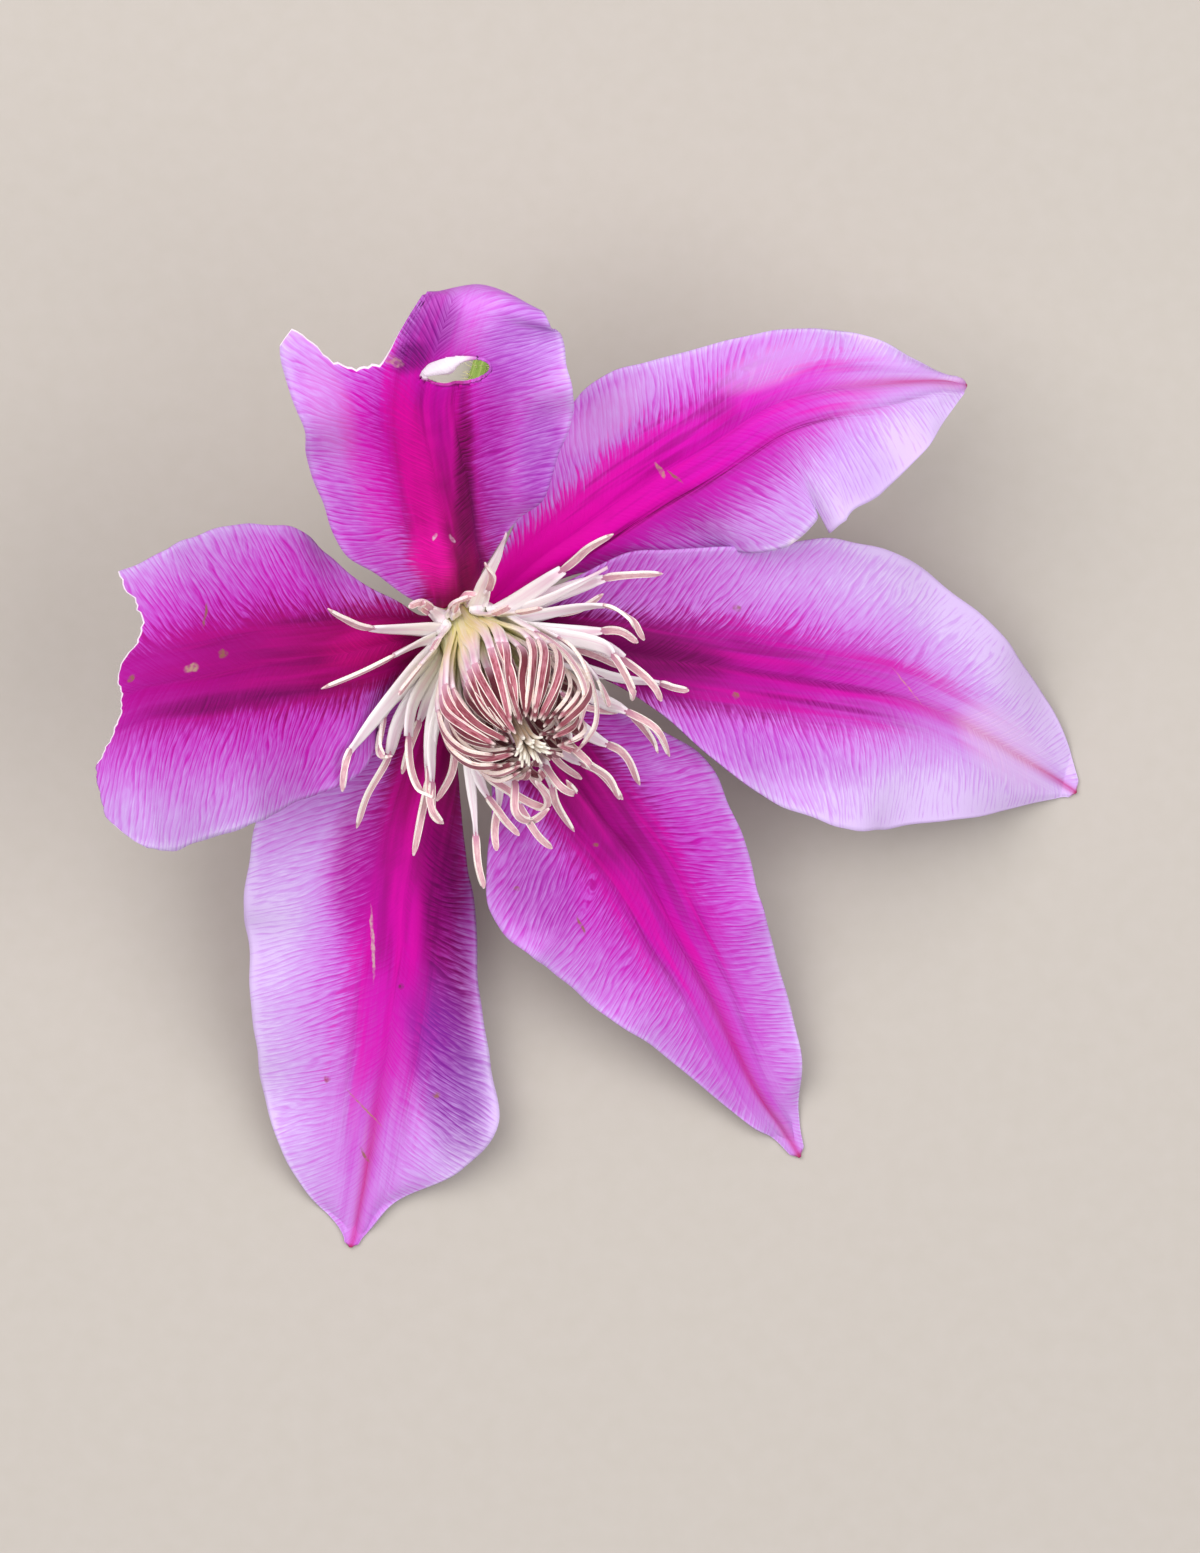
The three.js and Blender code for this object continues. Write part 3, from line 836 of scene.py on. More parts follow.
@dataclass(frozen=True)
class AntherFinish(Finish):
    """An anther: a dusty rose band between two cream pollen sacs, freckled where they have opened.

    Pieces whose number lies past depth, the inner whorls deep in the ball, are darker as painted shade, and
    varied says how much they differ.
    """

    rose: str
    maroon: str
    cream: str
    pollen: str = "E9CFA4"
    dark: str = "6E2230"
    shadow: str = "C07C9C"
    varied: float = 0.0
    depth: tuple[float, float] = (900.0, 1000.0)

    def wire(self, bench: Bench) -> None:
        """Lays the cream sacs, their pollen and the shadow at the joint over the rose band.

        Args:
            bench: the material's bench.
        """
        across, along, number = bench.numbers("strap")
        fine = bench.noise(bench.row(across * 2.5, along * 9.0, number * 11.7), 1.0, 2.5, 0.6)
        grain = bench.noise(bench.here(), GRAIN_SCALE, 2)
        own = bench.noise(bench.row(number * 5.37, 0.5, 0.5), 1.0, 1.0)
        edge = abs(across) + (fine - 0.5) * 0.3 - (own - 0.5) * 0.4 * self.varied
        colour = bench.layers(
            self.rose,
            (self.maroon, fine.rise(0.35, 0.7)),
            # painted shade on the anthers of the deeper whorls
            (self.dark, number.rise(*self.depth) * 0.75),
            (self.dark, own.rise(0.46, 0.62) * self.varied),
            (self.shadow, along.fall(0.0, 0.3) * 0.9),
            (self.cream, edge.rise(0.7, 0.84) * along.rise(0.0, 0.12)),
            (self.pollen, abs(across).rise(0.75, 0.9) * grain.rise(0.5, 0.64) * 0.45),
            (self.cream, along.rise(0.93, 1.0) * 0.8))
        bench.dress(colour, 0.6 + grain * 0.15, grain * 0.6 + fine * 0.5, 0.06, Sheen_Weight=0.15,
                    Specular_IOR_Level=0.35)


@dataclass(frozen=True)
class StyleFinish(Finish):
    """A style: a silky cream thread, darkened to a dull brown below its tip as painted shade inside the
    ball.
    """

    cream: str = "F6F0E2"
    # painted shade on the lower thread, deep inside the ball
    tawny_shade: str = "A88A6A"
    silk: str = "D9C7AE"

    def wire(self, bench: Bench) -> None:
        """Lays the cream tip and the silky lines over the thread's painted shade of dull brown.

        Args:
            bench: the material's bench.
        """
        across, along, number = bench.numbers("strap")
        silk = bench.noise(bench.row(across * 4.0, along * 14.0, number * 7.1), 1.0, 2.0)
        colour = bench.layers(self.tawny_shade, (self.cream, along.rise(0.72, 0.93)),
                              (self.silk, silk.rise(0.52, 0.7) * 0.5))
        bench.dress(colour, 0.5 + silk * 0.15, silk, 0.05, Sheen_Weight=0.4)


@dataclass(frozen=True)
class StemFinish(Finish):
    """The stem: green, flushed purple-brown along its ribs, with fine lengthwise lines."""

    green: str = "7FA03C"
    pale: str = "A9BE62"
    flush: str = "7A4A4E"
    crown: str = "EDE3A4"

    def wire(self, bench: Bench) -> None:
        """Lays the pale lines, the flush and the pale crown over the green.

        Args:
            bench: the material's bench.
        """
        around, along, _ = bench.numbers("strap")
        lines = bench.noise(bench.row(around * 9.0, along * 5.0, 2.0), 1.0, 3.0, 0.6)
        blotch = bench.noise(bench.here(), 260, 3)
        grain = bench.noise(bench.here(), GRAIN_SCALE, 2)
        flushed = along.rise(0.1, 0.4) * along.fall(0.6, 0.85) * blotch.rise(0.4, 0.62) * 0.75
        colour = bench.layers(self.green, (self.pale, lines.rise(0.4, 0.65) * 0.8), (self.flush, flushed),
                              (self.pale, along.fall(0.02, 0.14) * 0.7),
                              (self.crown, along.fall(-0.9, -0.1)))
        bench.dress(colour, 0.5 + grain * 0.15, lines * 0.7 + grain * 0.3, 0.08, Sheen_Weight=0.25,
                    Specular_IOR_Level=0.35)


@dataclass(frozen=True)
class FloorFinish(Finish):
    """The studio's floor: pale and matt, with the faintest grain."""

    pale: str = "BFB8B1"
    grey: str = "BAB3AA"

    def wire(self, bench: Bench) -> None:
        """Mottles one pale colour with the other."""
        grain = bench.noise(bench.here(), 400, 3)
        bench.dress(bench.layers(self.pale, (self.grey, grain)), 0.9, grain, 0.01, Specular_IOR_Level=0.1)


# The form of the sepals.


@dataclass(frozen=True)
class Hole:
    """A hole eaten through a sepal, with the torn flesh curled over one end of it.

    u and v are its middle, and turn is in degrees. Its lip is rim wide, and flap wide at flap_at, with
    flap_spread between them, both in radians. curl is how far each loop of the lip goes in and up.
    """

    u: float
    v: float
    length: float
    width: float
    turn: float
    rim: float = 0.12
    flap: float = 2.2
    flap_at: float = math.radians(128)
    flap_spread: float = 0.8
    curl: Curve = ((0.25, 0.35), (0.4, 0.1), (0.35, -0.12))


@dataclass(frozen=True)
class Tear:
    """A nick in the right-hand margin.

    It starts, is deepest and ends at start, u and end, and depth is its share of the half width.
    """

    start: float
    u: float
    end: float
    depth: float


@dataclass
class Sepal:
    """One sepal, worked out from its stations.

    A station holds x, y, z of the rib from the receptacle, then half width and rise on the left
    hand and on the right. u runs from base to tip, v from the right-hand margin to the left-hand one.
    base and heading are degrees: where on the receptacle it starts and which way it points. The curves
    bar, shift and end are pairs of u and half width, of u and place, and of v and the share left.
    """

    name: str
    base: float
    heading: float
    waves: float
    phase: float
    stations: Sequence[Sequence[float]]
    face: SepalFace
    pointed: bool = True
    ridge: float = 1.0
    end: Curve | None = None
    tear: Tear | None = None
    hole: Hole | None = None
    rows: int = 190
    columns: int = 88
    bar: Curve = ((0, 3.6), (0.15, 4.6), (0.35, 5.6), (0.55, 5.2), (0.72, 3.6), (0.86, 1.9), (0.95, 1.0),
                  (1, 0.7))
    calm_from: float = 2.0
    creases: tuple[float, float, float] = (0.4, 0.5, 0.4)
    shift: Curve = ((0, 0), (1, 0))
    fading: Sequence[Sequence[float]] = (
        (0, 0, 4, 0.02, 0.45), (0.15, 0, 4.5, 0.04, 0.5), (0.28, 0, 7.5, 0.07, 0.55),
        (0.43, 0, 13, 0.17, 0.76), (0.58, 0, 14, 0.4, 0.96), (0.73, -1, 9, 0.72, 1.0),
        (0.88, -1, 7, 0.88, 1.0), (1, -1, 5, 0.84, 1.0))

    def __post_init__(self) -> None:
        """Draws the curves of the rib, the half widths and the rises."""
        turn = math.radians(self.base)
        stations = [BASE_STATION, *self.stations]
        rim = FLOWER_AXES @ np.array(polar(BASE_RADIUS - BASE_TUCK, turn, -BASE_DROP))
        self.rib = Spline([tuple(rim)] + [station[:3] for station in self.stations])
        self.width = Spline([(station[3], station[5]) for station in stations])
        self.rise = Spline([(station[4], station[6]) for station in stations])
        self.base_side = FLOWER_AXES @ sideways(turn)
        self.open_side = sideways(math.radians(self.heading))
        steps = self.rib.at(np.linspace(0, 1, 401))
        self.walked = np.concatenate([[0], np.cumsum(np.linalg.norm(np.diff(steps, axis=0), axis=1))])

    def reach(self, u: Rows, v: Rows) -> Rows:
        """Half width in millimetres on the side where v lies, less what the tear takes."""
        widths = self.width.at(u)
        return np.where(v > 0, widths[:, 0], widths[:, 1]) * self.kept(u, v)

    def kept(self, u: Rows, v: Rows) -> Rows:
        """Share of the half width that the tear leaves on the side where v lies.

        Args:
            u: shares of the length.
            v: shares of the half width.

        Returns:
            The share at each place.
        """
        if not self.tear:
            return np.ones_like(u)
        near = np.interp(u, (self.tear.start, self.tear.u, self.tear.end), (0, 1, 0))
        return np.where(v > 0, 1, 1 - self.tear.depth * near)

    def bar_width(self, u: Rows) -> Rows:
        """Half width of the magenta bar in millimetres."""
        return along_curve(u, self.bar)

    def aside(self, u: Rows, v: Rows) -> Rows:
        """Millimetres from the middle of the bar, which may lie beside the rib."""
        return self.reach(u, v) * v - along_curve(u, self.shift)

    def grooves(self, u: Rows, v: Rows) -> Rows:
        """How deep a place lies in one of the bar's three lengthwise grooves, from 0 to 1.

        Args:
            u: shares of the length.
            v: shares of the half width.

        Returns:
            The depth at each place.
        """
        right, middle, left = self.creases
        wander = 0.35 * np.sin(9 * u + self.phase) + 0.15 * np.sin(23 * u + self.phase * 2)
        across, bar = self.aside(u, v) + wander, self.bar_width(u)
        depth = middle * bell(across, GROOVE_WIDTH)
        for strength, place in ((left, GROOVE_PLACE), (right, -GROOVE_PLACE)):
            depth = np.maximum(depth, strength * bell(across - place * bar, GROOVE_WIDTH))
        return depth * ease(u / 0.1) * ease((1 - u) / 0.12) * ease(1 - (u - self.calm_from) / 0.08)

    def paleness(self, u: Rows, v: Rows) -> Rows:
        """How pale the face is: 0 in the bar's core and about 1 at the margin.

        Args:
            u: shares of the length.
            v: shares of the half width.

        Returns:
            The paleness at each place, from the fading's rows of u, start, finish, core and margin.
        """
        places, *rows = np.array(self.fading, float).T
        begin, stop, inside, outside = (np.interp(u, places, row) for row in rows)
        away = ease((np.abs(self.aside(u, v)) - begin) / (stop - begin))
        return inside + (outside - inside) * away

    def relief(self, u: Rows, v: Rows) -> Rows:
        """Height of the grooves, the puffed bar and the fine waves over the plain form.

        Args:
            u: shares of the length.
            v: shares of the half width.

        Returns:
            The height at each place, in millimetres.
        """
        bar = self.bar_width(u)
        shown = ease(u / 0.12) * ease((1 - u) / 0.06) * ease(1 - (u - self.calm_from) / 0.08)
        grooves = GROOVE_DEPTH * self.grooves(u, v)
        puff = PUFF_HEIGHT * bell(np.abs(self.aside(u, v)) - 0.33 * bar, 0.24 * bar)
        phase = self.phase
        frill = np.sin(FULL_TURN * (1.9 * self.waves * u) + phase * 3 + 2 * v)
        frill = FRILL_HEIGHT * np.abs(v) ** 3 * frill * ease(u / 0.3)
        sway = SWAY_HEIGHT * np.sin(7.3 * u + 2.1 * v + phase) * np.sin(5.1 * v + phase) * (1 - v * v)
        return shown * (puff - grooves + frill + sway)

    def plain_form(self, u: Rows, v: Rows) -> tuple[Rows, Rows]:
        """The sepal's surface without its relief.

        Args:
            u: shares of the length.
            v: shares of the half width.

        Returns:
            The points and the direction of the rise at each.
        """
        along = self.rib.heading(u)
        side = self.base_side + (self.open_side - self.base_side) * ease(u / BASE_BLEND)[:, None]
        side = unit(side - along * (side * along).sum(1, keepdims=True))
        up = np.cross(along, side)
        rises = self.rise.at(u)
        held = v * self.kept(u, v)
        wave = np.sin(FULL_TURN * self.waves * u + self.phase + held)
        fade = ease(u / BASE_BLEND) * ease((1 - u) / RUFFLE_FADE)
        lift = np.where(v > 0, rises[:, 0], rises[:, 1]) * np.abs(held) ** CUP_POWER
        lift += RUFFLE_HEIGHT * wave * held * held * fade
        taper = 1 - TIP_TAPER * ease((u - TIP_START) / TIP_LENGTH) * self.pointed
        ragged = 1 + v ** 4 * 0.005 * (np.sin(53 * u + self.phase) + 0.7 * np.sin(97 * u + 2 * self.phase))
        reach = (self.reach(u, v) * v * taper * ragged)[:, None]
        return self.rib.at(u) + side * reach + up * lift[:, None], up

    def surface(self, u: Rows, v: Rows) -> Rows:
        """Points of the sepal's middle layer, measured from the receptacle.

        Args:
            u: shares of the length.
            v: shares of the half width.

        Returns:
            One row for each place.
        """
        plain, up = self.plain_form(u, v)
        points = plain + up * self.relief(u, v)[:, None]
        points[:, 2] = np.maximum(points[:, 2], -RECEPTACLE[2] + SEPAL_THICKNESS / 2)
        return points

    def end_at(self, v: Rows) -> Rows:
        """Share of the length that is left at v, where the end is bitten off.

        Args:
            v: shares of the half width.

        Returns:
            The share at each place.
        """
        if not self.end:
            return np.ones_like(v)
        rounded = sum(along_curve(v + step, self.end) for step in (-0.04, -0.02, 0, 0.02, 0.04)) / 5
        ragged = 0.003 * np.sin(41 * v + self.phase) + 0.002 * np.sin(97 * v) + 0.001 * np.sin(211 * v)
        return np.minimum(rounded + ragged, 1.0)

    def build(self) -> Piece:
        """Builds, thickens and dresses the blade.

        Returns:
            The finished piece.
        """
        start_fresh()
        bpy.ops.mesh.primitive_grid_add(x_subdivisions=self.rows, y_subdivisions=self.columns, size=2)
        blade = bpy.context.object
        blade.name = blade.data.name = f"{self.name}_blade"
        flat = points_of(blade.data)
        v = flat[:, 1] * (0.76 + 0.24 * flat[:, 1] ** 2)
        u = (flat[:, 0] + 1) / 2 * self.end_at(v)
        set_points(blade.data, self.surface(u, v))
        note(blade.data, "place", u, v, 0)
        if self.hole:
            self.eat_hole(blade)
        self.write_notes(blade)
        for material in (self.face.make(f"{self.name} face"), SepalBack().make(f"{self.name} back")):
            blade.data.materials.append(material)
        self.thicken(blade)
        bpy.ops.object.shade_smooth()
        return hand_over(blade, self.name)

    def hole_places(self, points: Rows) -> tuple[Rows, Rows, Rows]:
        """Points in the hole's plane.

        Args:
            points: places from the receptacle.

        Returns:
            Each point's distance from the hole's middle with 1 on its rim, its angle, and the
            plane's three directions as rows.
        """
        hole = self.hole
        u, v = np.array([hole.u, hole.u + 0.01, hole.u]), np.array([hole.v, hole.v, hole.v + 0.05])
        middle, ahead, left = self.surface(u, v)
        normal = unit(np.cross(ahead - middle, left - middle))
        right = unit(np.array((1.0, 0, 0)) - normal * normal[0])
        turn = math.radians(hole.turn)
        away = np.cross(normal, right)
        axes = np.array([right * math.cos(turn) + away * math.sin(turn),
                         away * math.cos(turn) - right * math.sin(turn), normal])
        x, y, _ = axes @ (points - middle).T
        x, y = x / (hole.length / 2), y / (hole.width / 2)
        return np.hypot(x, y), np.arctan2(y, x), axes

    def past_flap(self, angle: Rows) -> Rows:
        """How far round the hole's rim an angle lies from the middle of the flap, from -pi to pi."""
        return np.mod(angle - self.hole.flap_at + math.pi, FULL_TURN) - math.pi

    def eat_hole(self, blade: Piece) -> None:
        """Takes the hole's faces out, rounds its rim and curls the torn flesh over one side of it.

        Args:
            blade: the sepal's single layer.
        """
        mesh, hole = blade.data, self.hole
        centres = np.array([face.center for face in mesh.polygons])
        with editing(blade):
            select_parts(blade, self.hole_places(centres)[0] < 1, "FACE")
            bpy.ops.mesh.delete(type="FACE")
        points = points_of(mesh)
        away, angle, axes = self.hole_places(points)
        rim = self._open_points(mesh) & (away < 1.6)
        outward = np.cos(angle)[:, None] * axes[0] * hole.length
        outward = (outward + np.sin(angle)[:, None] * axes[1] * hole.width) / 2
        points[rim] -= outward[rim] * (away[rim] - 1)[:, None]
        set_points(mesh, points)
        for inward, lift in hole.curl:
            away, angle, axes = self.hole_places(points_of(mesh))
            rim = self._open_points(mesh) & (away < 1.25)
            turned = self.past_flap(angle)
            near = bell(turned, hole.flap_spread)
            size = (hole.rim + (hole.flap - hole.rim) * near)[:, None]
            aim = hole.flap_at + turned * (1 - 0.8 * near)
            outward = np.cos(aim)[:, None] * axes[0] + np.sin(aim)[:, None] * axes[1]
            self._extrude_rim(blade, rim, size * (axes[2] * lift - outward * inward))

    @staticmethod
    def _open_points(mesh: bpy.types.Mesh) -> Rows:
        """Whether each vertex lies on an edge that has only one face.

        Args:
            mesh: the mesh.

        Returns:
            True or false for each vertex.
        """
        loops = np.empty(len(mesh.loops), np.int32)
        mesh.loops.foreach_get("edge_index", loops)
        used = np.bincount(loops, minlength=len(mesh.edges))
        ends = np.array([edge.vertices[:] for edge in mesh.edges])
        found = np.zeros(len(mesh.vertices), bool)
        found[ends[used == 1].ravel()] = True
        return found

    @staticmethod
    def _extrude_rim(blade: Piece, rim: Rows, moves: Rows) -> None:
        """Extrudes the rim's edges and moves the new loop.

        Args:
            blade: the sepal's single layer.
            rim: whether each vertex is on the rim.
            moves: how far each vertex's copy moves.
        """
        ends = np.array([edge.vertices[:] for edge in blade.data.edges])
        kept = points_of(blade.data)
        with editing(blade):
            select_parts(blade, rim[ends].all(axis=1), "EDGE")
            bpy.ops.mesh.extrude_edges_move()
        points = points_of(blade.data)
        for index in range(len(kept), len(points)):
            source = int(np.argmin(np.linalg.norm(kept - points[index], axis=1) + ~rim * 1e3))
            points[index] += moves[source]
        set_points(blade.data, points)

    def damage(self, mesh: bpy.types.Mesh, u: Rows, v: Rows) -> Rows:
        """How torn and pale the flesh is, along the bitten end, the tear and the hole's rim.

        Args:
            mesh: the sepal's single layer.
            u: each vertex's share of the length.
            v: each vertex's share of the half width.

        Returns:
            0 to 1 for each vertex.
        """
        reach, length = self.reach(u, v), self.walked[-1]
        hurt = np.zeros_like(u)
        if self.end:
            left = (self.end_at(v) - u) * length
            hurt = np.where(self.end_at(v) < 0.985, np.exp(-np.maximum(left, 0) / 0.16), 0)
        if self.tear:
            lobe = np.hypot((u - self.tear.start) * length - 0.6, (v + 1) * reach)
            torn = (u > self.tear.start) & (u < self.tear.end)
            edge = np.where(torn, np.exp(-(v + 1) * reach / 0.14), 0)
            hurt = np.maximum(hurt, np.maximum(edge * 0.6, np.exp(-lobe / 0.8)))
        if self.hole:
            away, angle, _ = self.hole_places(points_of(mesh))
            full = 0.45 + 0.55 * np.exp(-(np.abs(self.past_flap(angle)) / 1.1) ** 4)
            rim = np.where(away < 1.02, full, full * np.exp(-(away - 1) / 0.05))
            hurt = np.maximum(hurt, rim * (away < 2))
        return hurt

    def write_notes(self, blade: Piece) -> None:
        """Writes what the materials read: places across and along, the bar, the grooves and the damage.

        A sepal without a point keeps its u short of the coloured tip.

        Args:
            blade: the sepal's single layer.
        """
        mesh = blade.data
        u, v, _ = noted(mesh, "place").T
        across, bar = self.aside(u, v), self.bar_width(u)
        along = np.interp(u, np.linspace(0, 1, len(self.walked)), self.walked)
        spine = bell(across, 0.3 + 0.1 * bar) * ease((u - 0.5) / 0.3) * self.ridge
        note(mesh, "span", across, along, spine)
        note(mesh, "place", u if self.pointed else np.minimum(u, 0.9), v, self.damage(mesh, u, v))
        note(mesh, "rib", np.abs(across) / bar, self.grooves(u, v), self.paleness(u, v))

    def thicken(self, blade: Piece) -> None:
        """Gives the layer its thickness, thinner at the margins, and moves it to its place.

        Args:
            blade: the sepal's single layer.
        """
        mesh = blade.data
        _, v, hurt = noted(mesh, "place").T
        full = 1 - 0.6 * ease((np.abs(v) - 0.6) / 0.4) - 0.5 * hurt
        group = blade.vertex_groups.new(name="flesh")
        for index, weight in enumerate(np.clip(full, 0.25, 1)):
            group.add([index], float(weight), "REPLACE")
        finish_modifier(blade, "SOLIDIFY", thickness=SEPAL_THICKNESS, offset=0, vertex_group="flesh",
                        thickness_vertex_group=0.0, material_offset=1)
        points = points_of(mesh) + RECEPTACLE
        points[:, 2] = np.maximum(points[:, 2], 0)
        set_points(mesh, points * MM)


# Stamens, styles and stem.


@dataclass(frozen=True)
class Strap:
    """How a straight blank is bent: the part of the path it takes, its widths, thickness and twist.

    The path and the direction across its root are in the flower's frame, and the twist is in radians.
    """

    path: Spline
    across: Rows
    start: float
    end: float
    widths: Curve
    thickness: float
    twist: float = 0.0

    def bend(self, blank: Piece, number: int) -> Piece:
        """Copies a straight blank and bends the copy.

        Args:
            blank: a straight piece, one long along Z, and one wide and one thick about it.
            number: the copy's number, which its finish varies by.

        Returns:
            The bent copy, in place.
        """
        copy = add_object(f"{blank.name}_{number}", blank.data.copy())
        flat = points_of(copy.data)
        share = self.start + (self.end - self.start) * flat[:, 2]
        along = self.path.heading(share)
        side = unit(self.across - along * (along @ self.across)[:, None])
        front = np.cross(along, side)
        turn = (self.twist * np.clip(flat[:, 2], 0, 1) ** 1.5)[:, None]
        side, front = side * np.cos(turn) + front * np.sin(turn), front * np.cos(turn) - side * np.sin(turn)
        wide = along_curve(share, self.widths)[:, None]
        points = self.path.at(share) + side * wide * flat[:, :1] + front * self.thickness * flat[:, 1:2]
        note(copy.data, "strap", flat[:, 0] * 2, flat[:, 2], number)
        set_points(copy.data, (RECEPTACLE + points @ FLOWER_AXES.T) * MM)
        return copy


def join(parts: Sequence[Piece], name: str, material: bpy.types.Material) -> Piece:
    """Joins parts into one piece with one finish.

    Args:
        parts: the parts.
        name: the piece's name.
        material: its finish.

    Returns:
        The piece.
    """
    start_fresh()
    for part in parts:
        part.select_set(True)
    bpy.context.view_layer.objects.active = parts[0]
    bpy.ops.object.join()
    piece = bpy.context.object
    piece.name = piece.data.name = name
    piece.data.materials.clear()
    piece.data.materials.append(material)
    bpy.ops.object.shade_smooth()
    return piece


@dataclass
class Blanks:
    """The straight pieces that every stamen and style is bent from."""

    filament_cuts: int = 13
    anther_cuts: int = 9
    thread_cuts: int = 11

    def build(self) -> dict[str, Piece]:
        """Models each blank once."""
        return {"filament": self.filament(), "anther": self.anther(), "blade": self.blade(),
                "thread": self.thread()}

    @staticmethod
    def _strap(name: str, cuts: int, ridge: float) -> tuple[Piece, Rows]:
        """A unit strap that stands on the origin, cut along three lines and across.

        Args:
            name: its name.
            cuts: how many cuts go across it.
            ridge: how far the outer lines lie from the middle one.

        Returns:
            The strap and its points.
        """
        start_fresh()
        bpy.ops.mesh.primitive_cube_add(size=1, location=(0, 0, 0.5))
        strap = settle(name)
        with editing(strap):
            cut_across(0, (-ridge, 0.0, ridge))
            cut_across(2, even_places(cuts))
        return strap, points_of(strap.data)

    def filament(self) -> Piece:
        """A channelled strap, thick along its middle and thin at its edges.

        Returns:
            The blank.
        """
        strap, points = self._strap("filament_blank", self.filament_cuts, 0.3)
        points[np.abs(points[:, 0]) > 0.4, 1] *= 0.35
        points[np.abs(points[:, 0]) < 0.1, 1] -= 0.45
        set_points(strap.data, points)
        return strap

    def anther(self) -> Piece:
        """A band between two round pollen sacs, each with a slit along it, narrowed at both ends.

        Returns:
            The blank.
        """
        strap, points = self._strap("anther_blank", self.anther_cuts, 0.26)
        aside = np.abs(points[:, 0])
        points[aside > 0.4, 1] *= 0.9
        points[(aside <= 0.4) & (aside > 0.2), 1] *= 0.55
        points[aside < 0.1, 1] *= 0.8
        set_points(strap.data, points)
        sides = np.array([abs(face.normal.x) > 0.9 for face in strap.data.polygons])
        with editing(strap):
            select_parts(strap, sides, "FACE")
            bpy.ops.mesh.inset(thickness=0.12, depth=0.0, use_boundary=True)
            bpy.ops.mesh.inset(thickness=0.1, depth=-0.09, use_boundary=True)
        points = points_of(strap.data)
        points[:, :2] *= 1 - 0.65 * ease((points[:, 2:] - 0.86) / 0.14)
        points[:, :2] *= 1 - 0.45 * ease((0.07 - points[:, 2:]) / 0.07)
        set_points(strap.data, points)
        finish_modifier(strap, "SUBSURF", levels=1, render_levels=1)
        return strap

    def blade(self) -> Piece:
        """A white petal-like strap that ends in a point.

        Returns:
            The blank.
        """
        strap, points = self._strap("blade_blank", self.filament_cuts, 0.3)
        points[:, 1] -= 0.5 * (0.5 - np.abs(points[:, 0]))
        points[:, 0] *= 1 - 0.93 * ease((points[:, 2] - 0.5) / 0.5)
        points[np.abs(points[:, 0]) > 0.4, 1] *= 0.4
        set_points(strap.data, points)
        return strap

    def thread(self) -> Piece:
        """A round thread for the styles, thinner to its tip.

        Returns:
            The blank.
        """
        start_fresh()
        bpy.ops.mesh.primitive_cylinder_add(vertices=7, radius=0.5, depth=1, location=(0, 0, 0.5))
        thread = settle("thread_blank")
        with editing(thread):
            cut_across(2, even_places(self.thread_cuts))
        points = points_of(thread.data)
        points[:, :2] *= 1 - 0.45 * ease((points[:, 2:] - 0.8) / 0.2)
        set_points(thread.data, points)
        return thread


class StamenKind(Enum):
    """What an outer stamen is: one with an anther at its end, or a pointed blade without one."""

    ANTHER = "anther"
    BLADE = "blade"


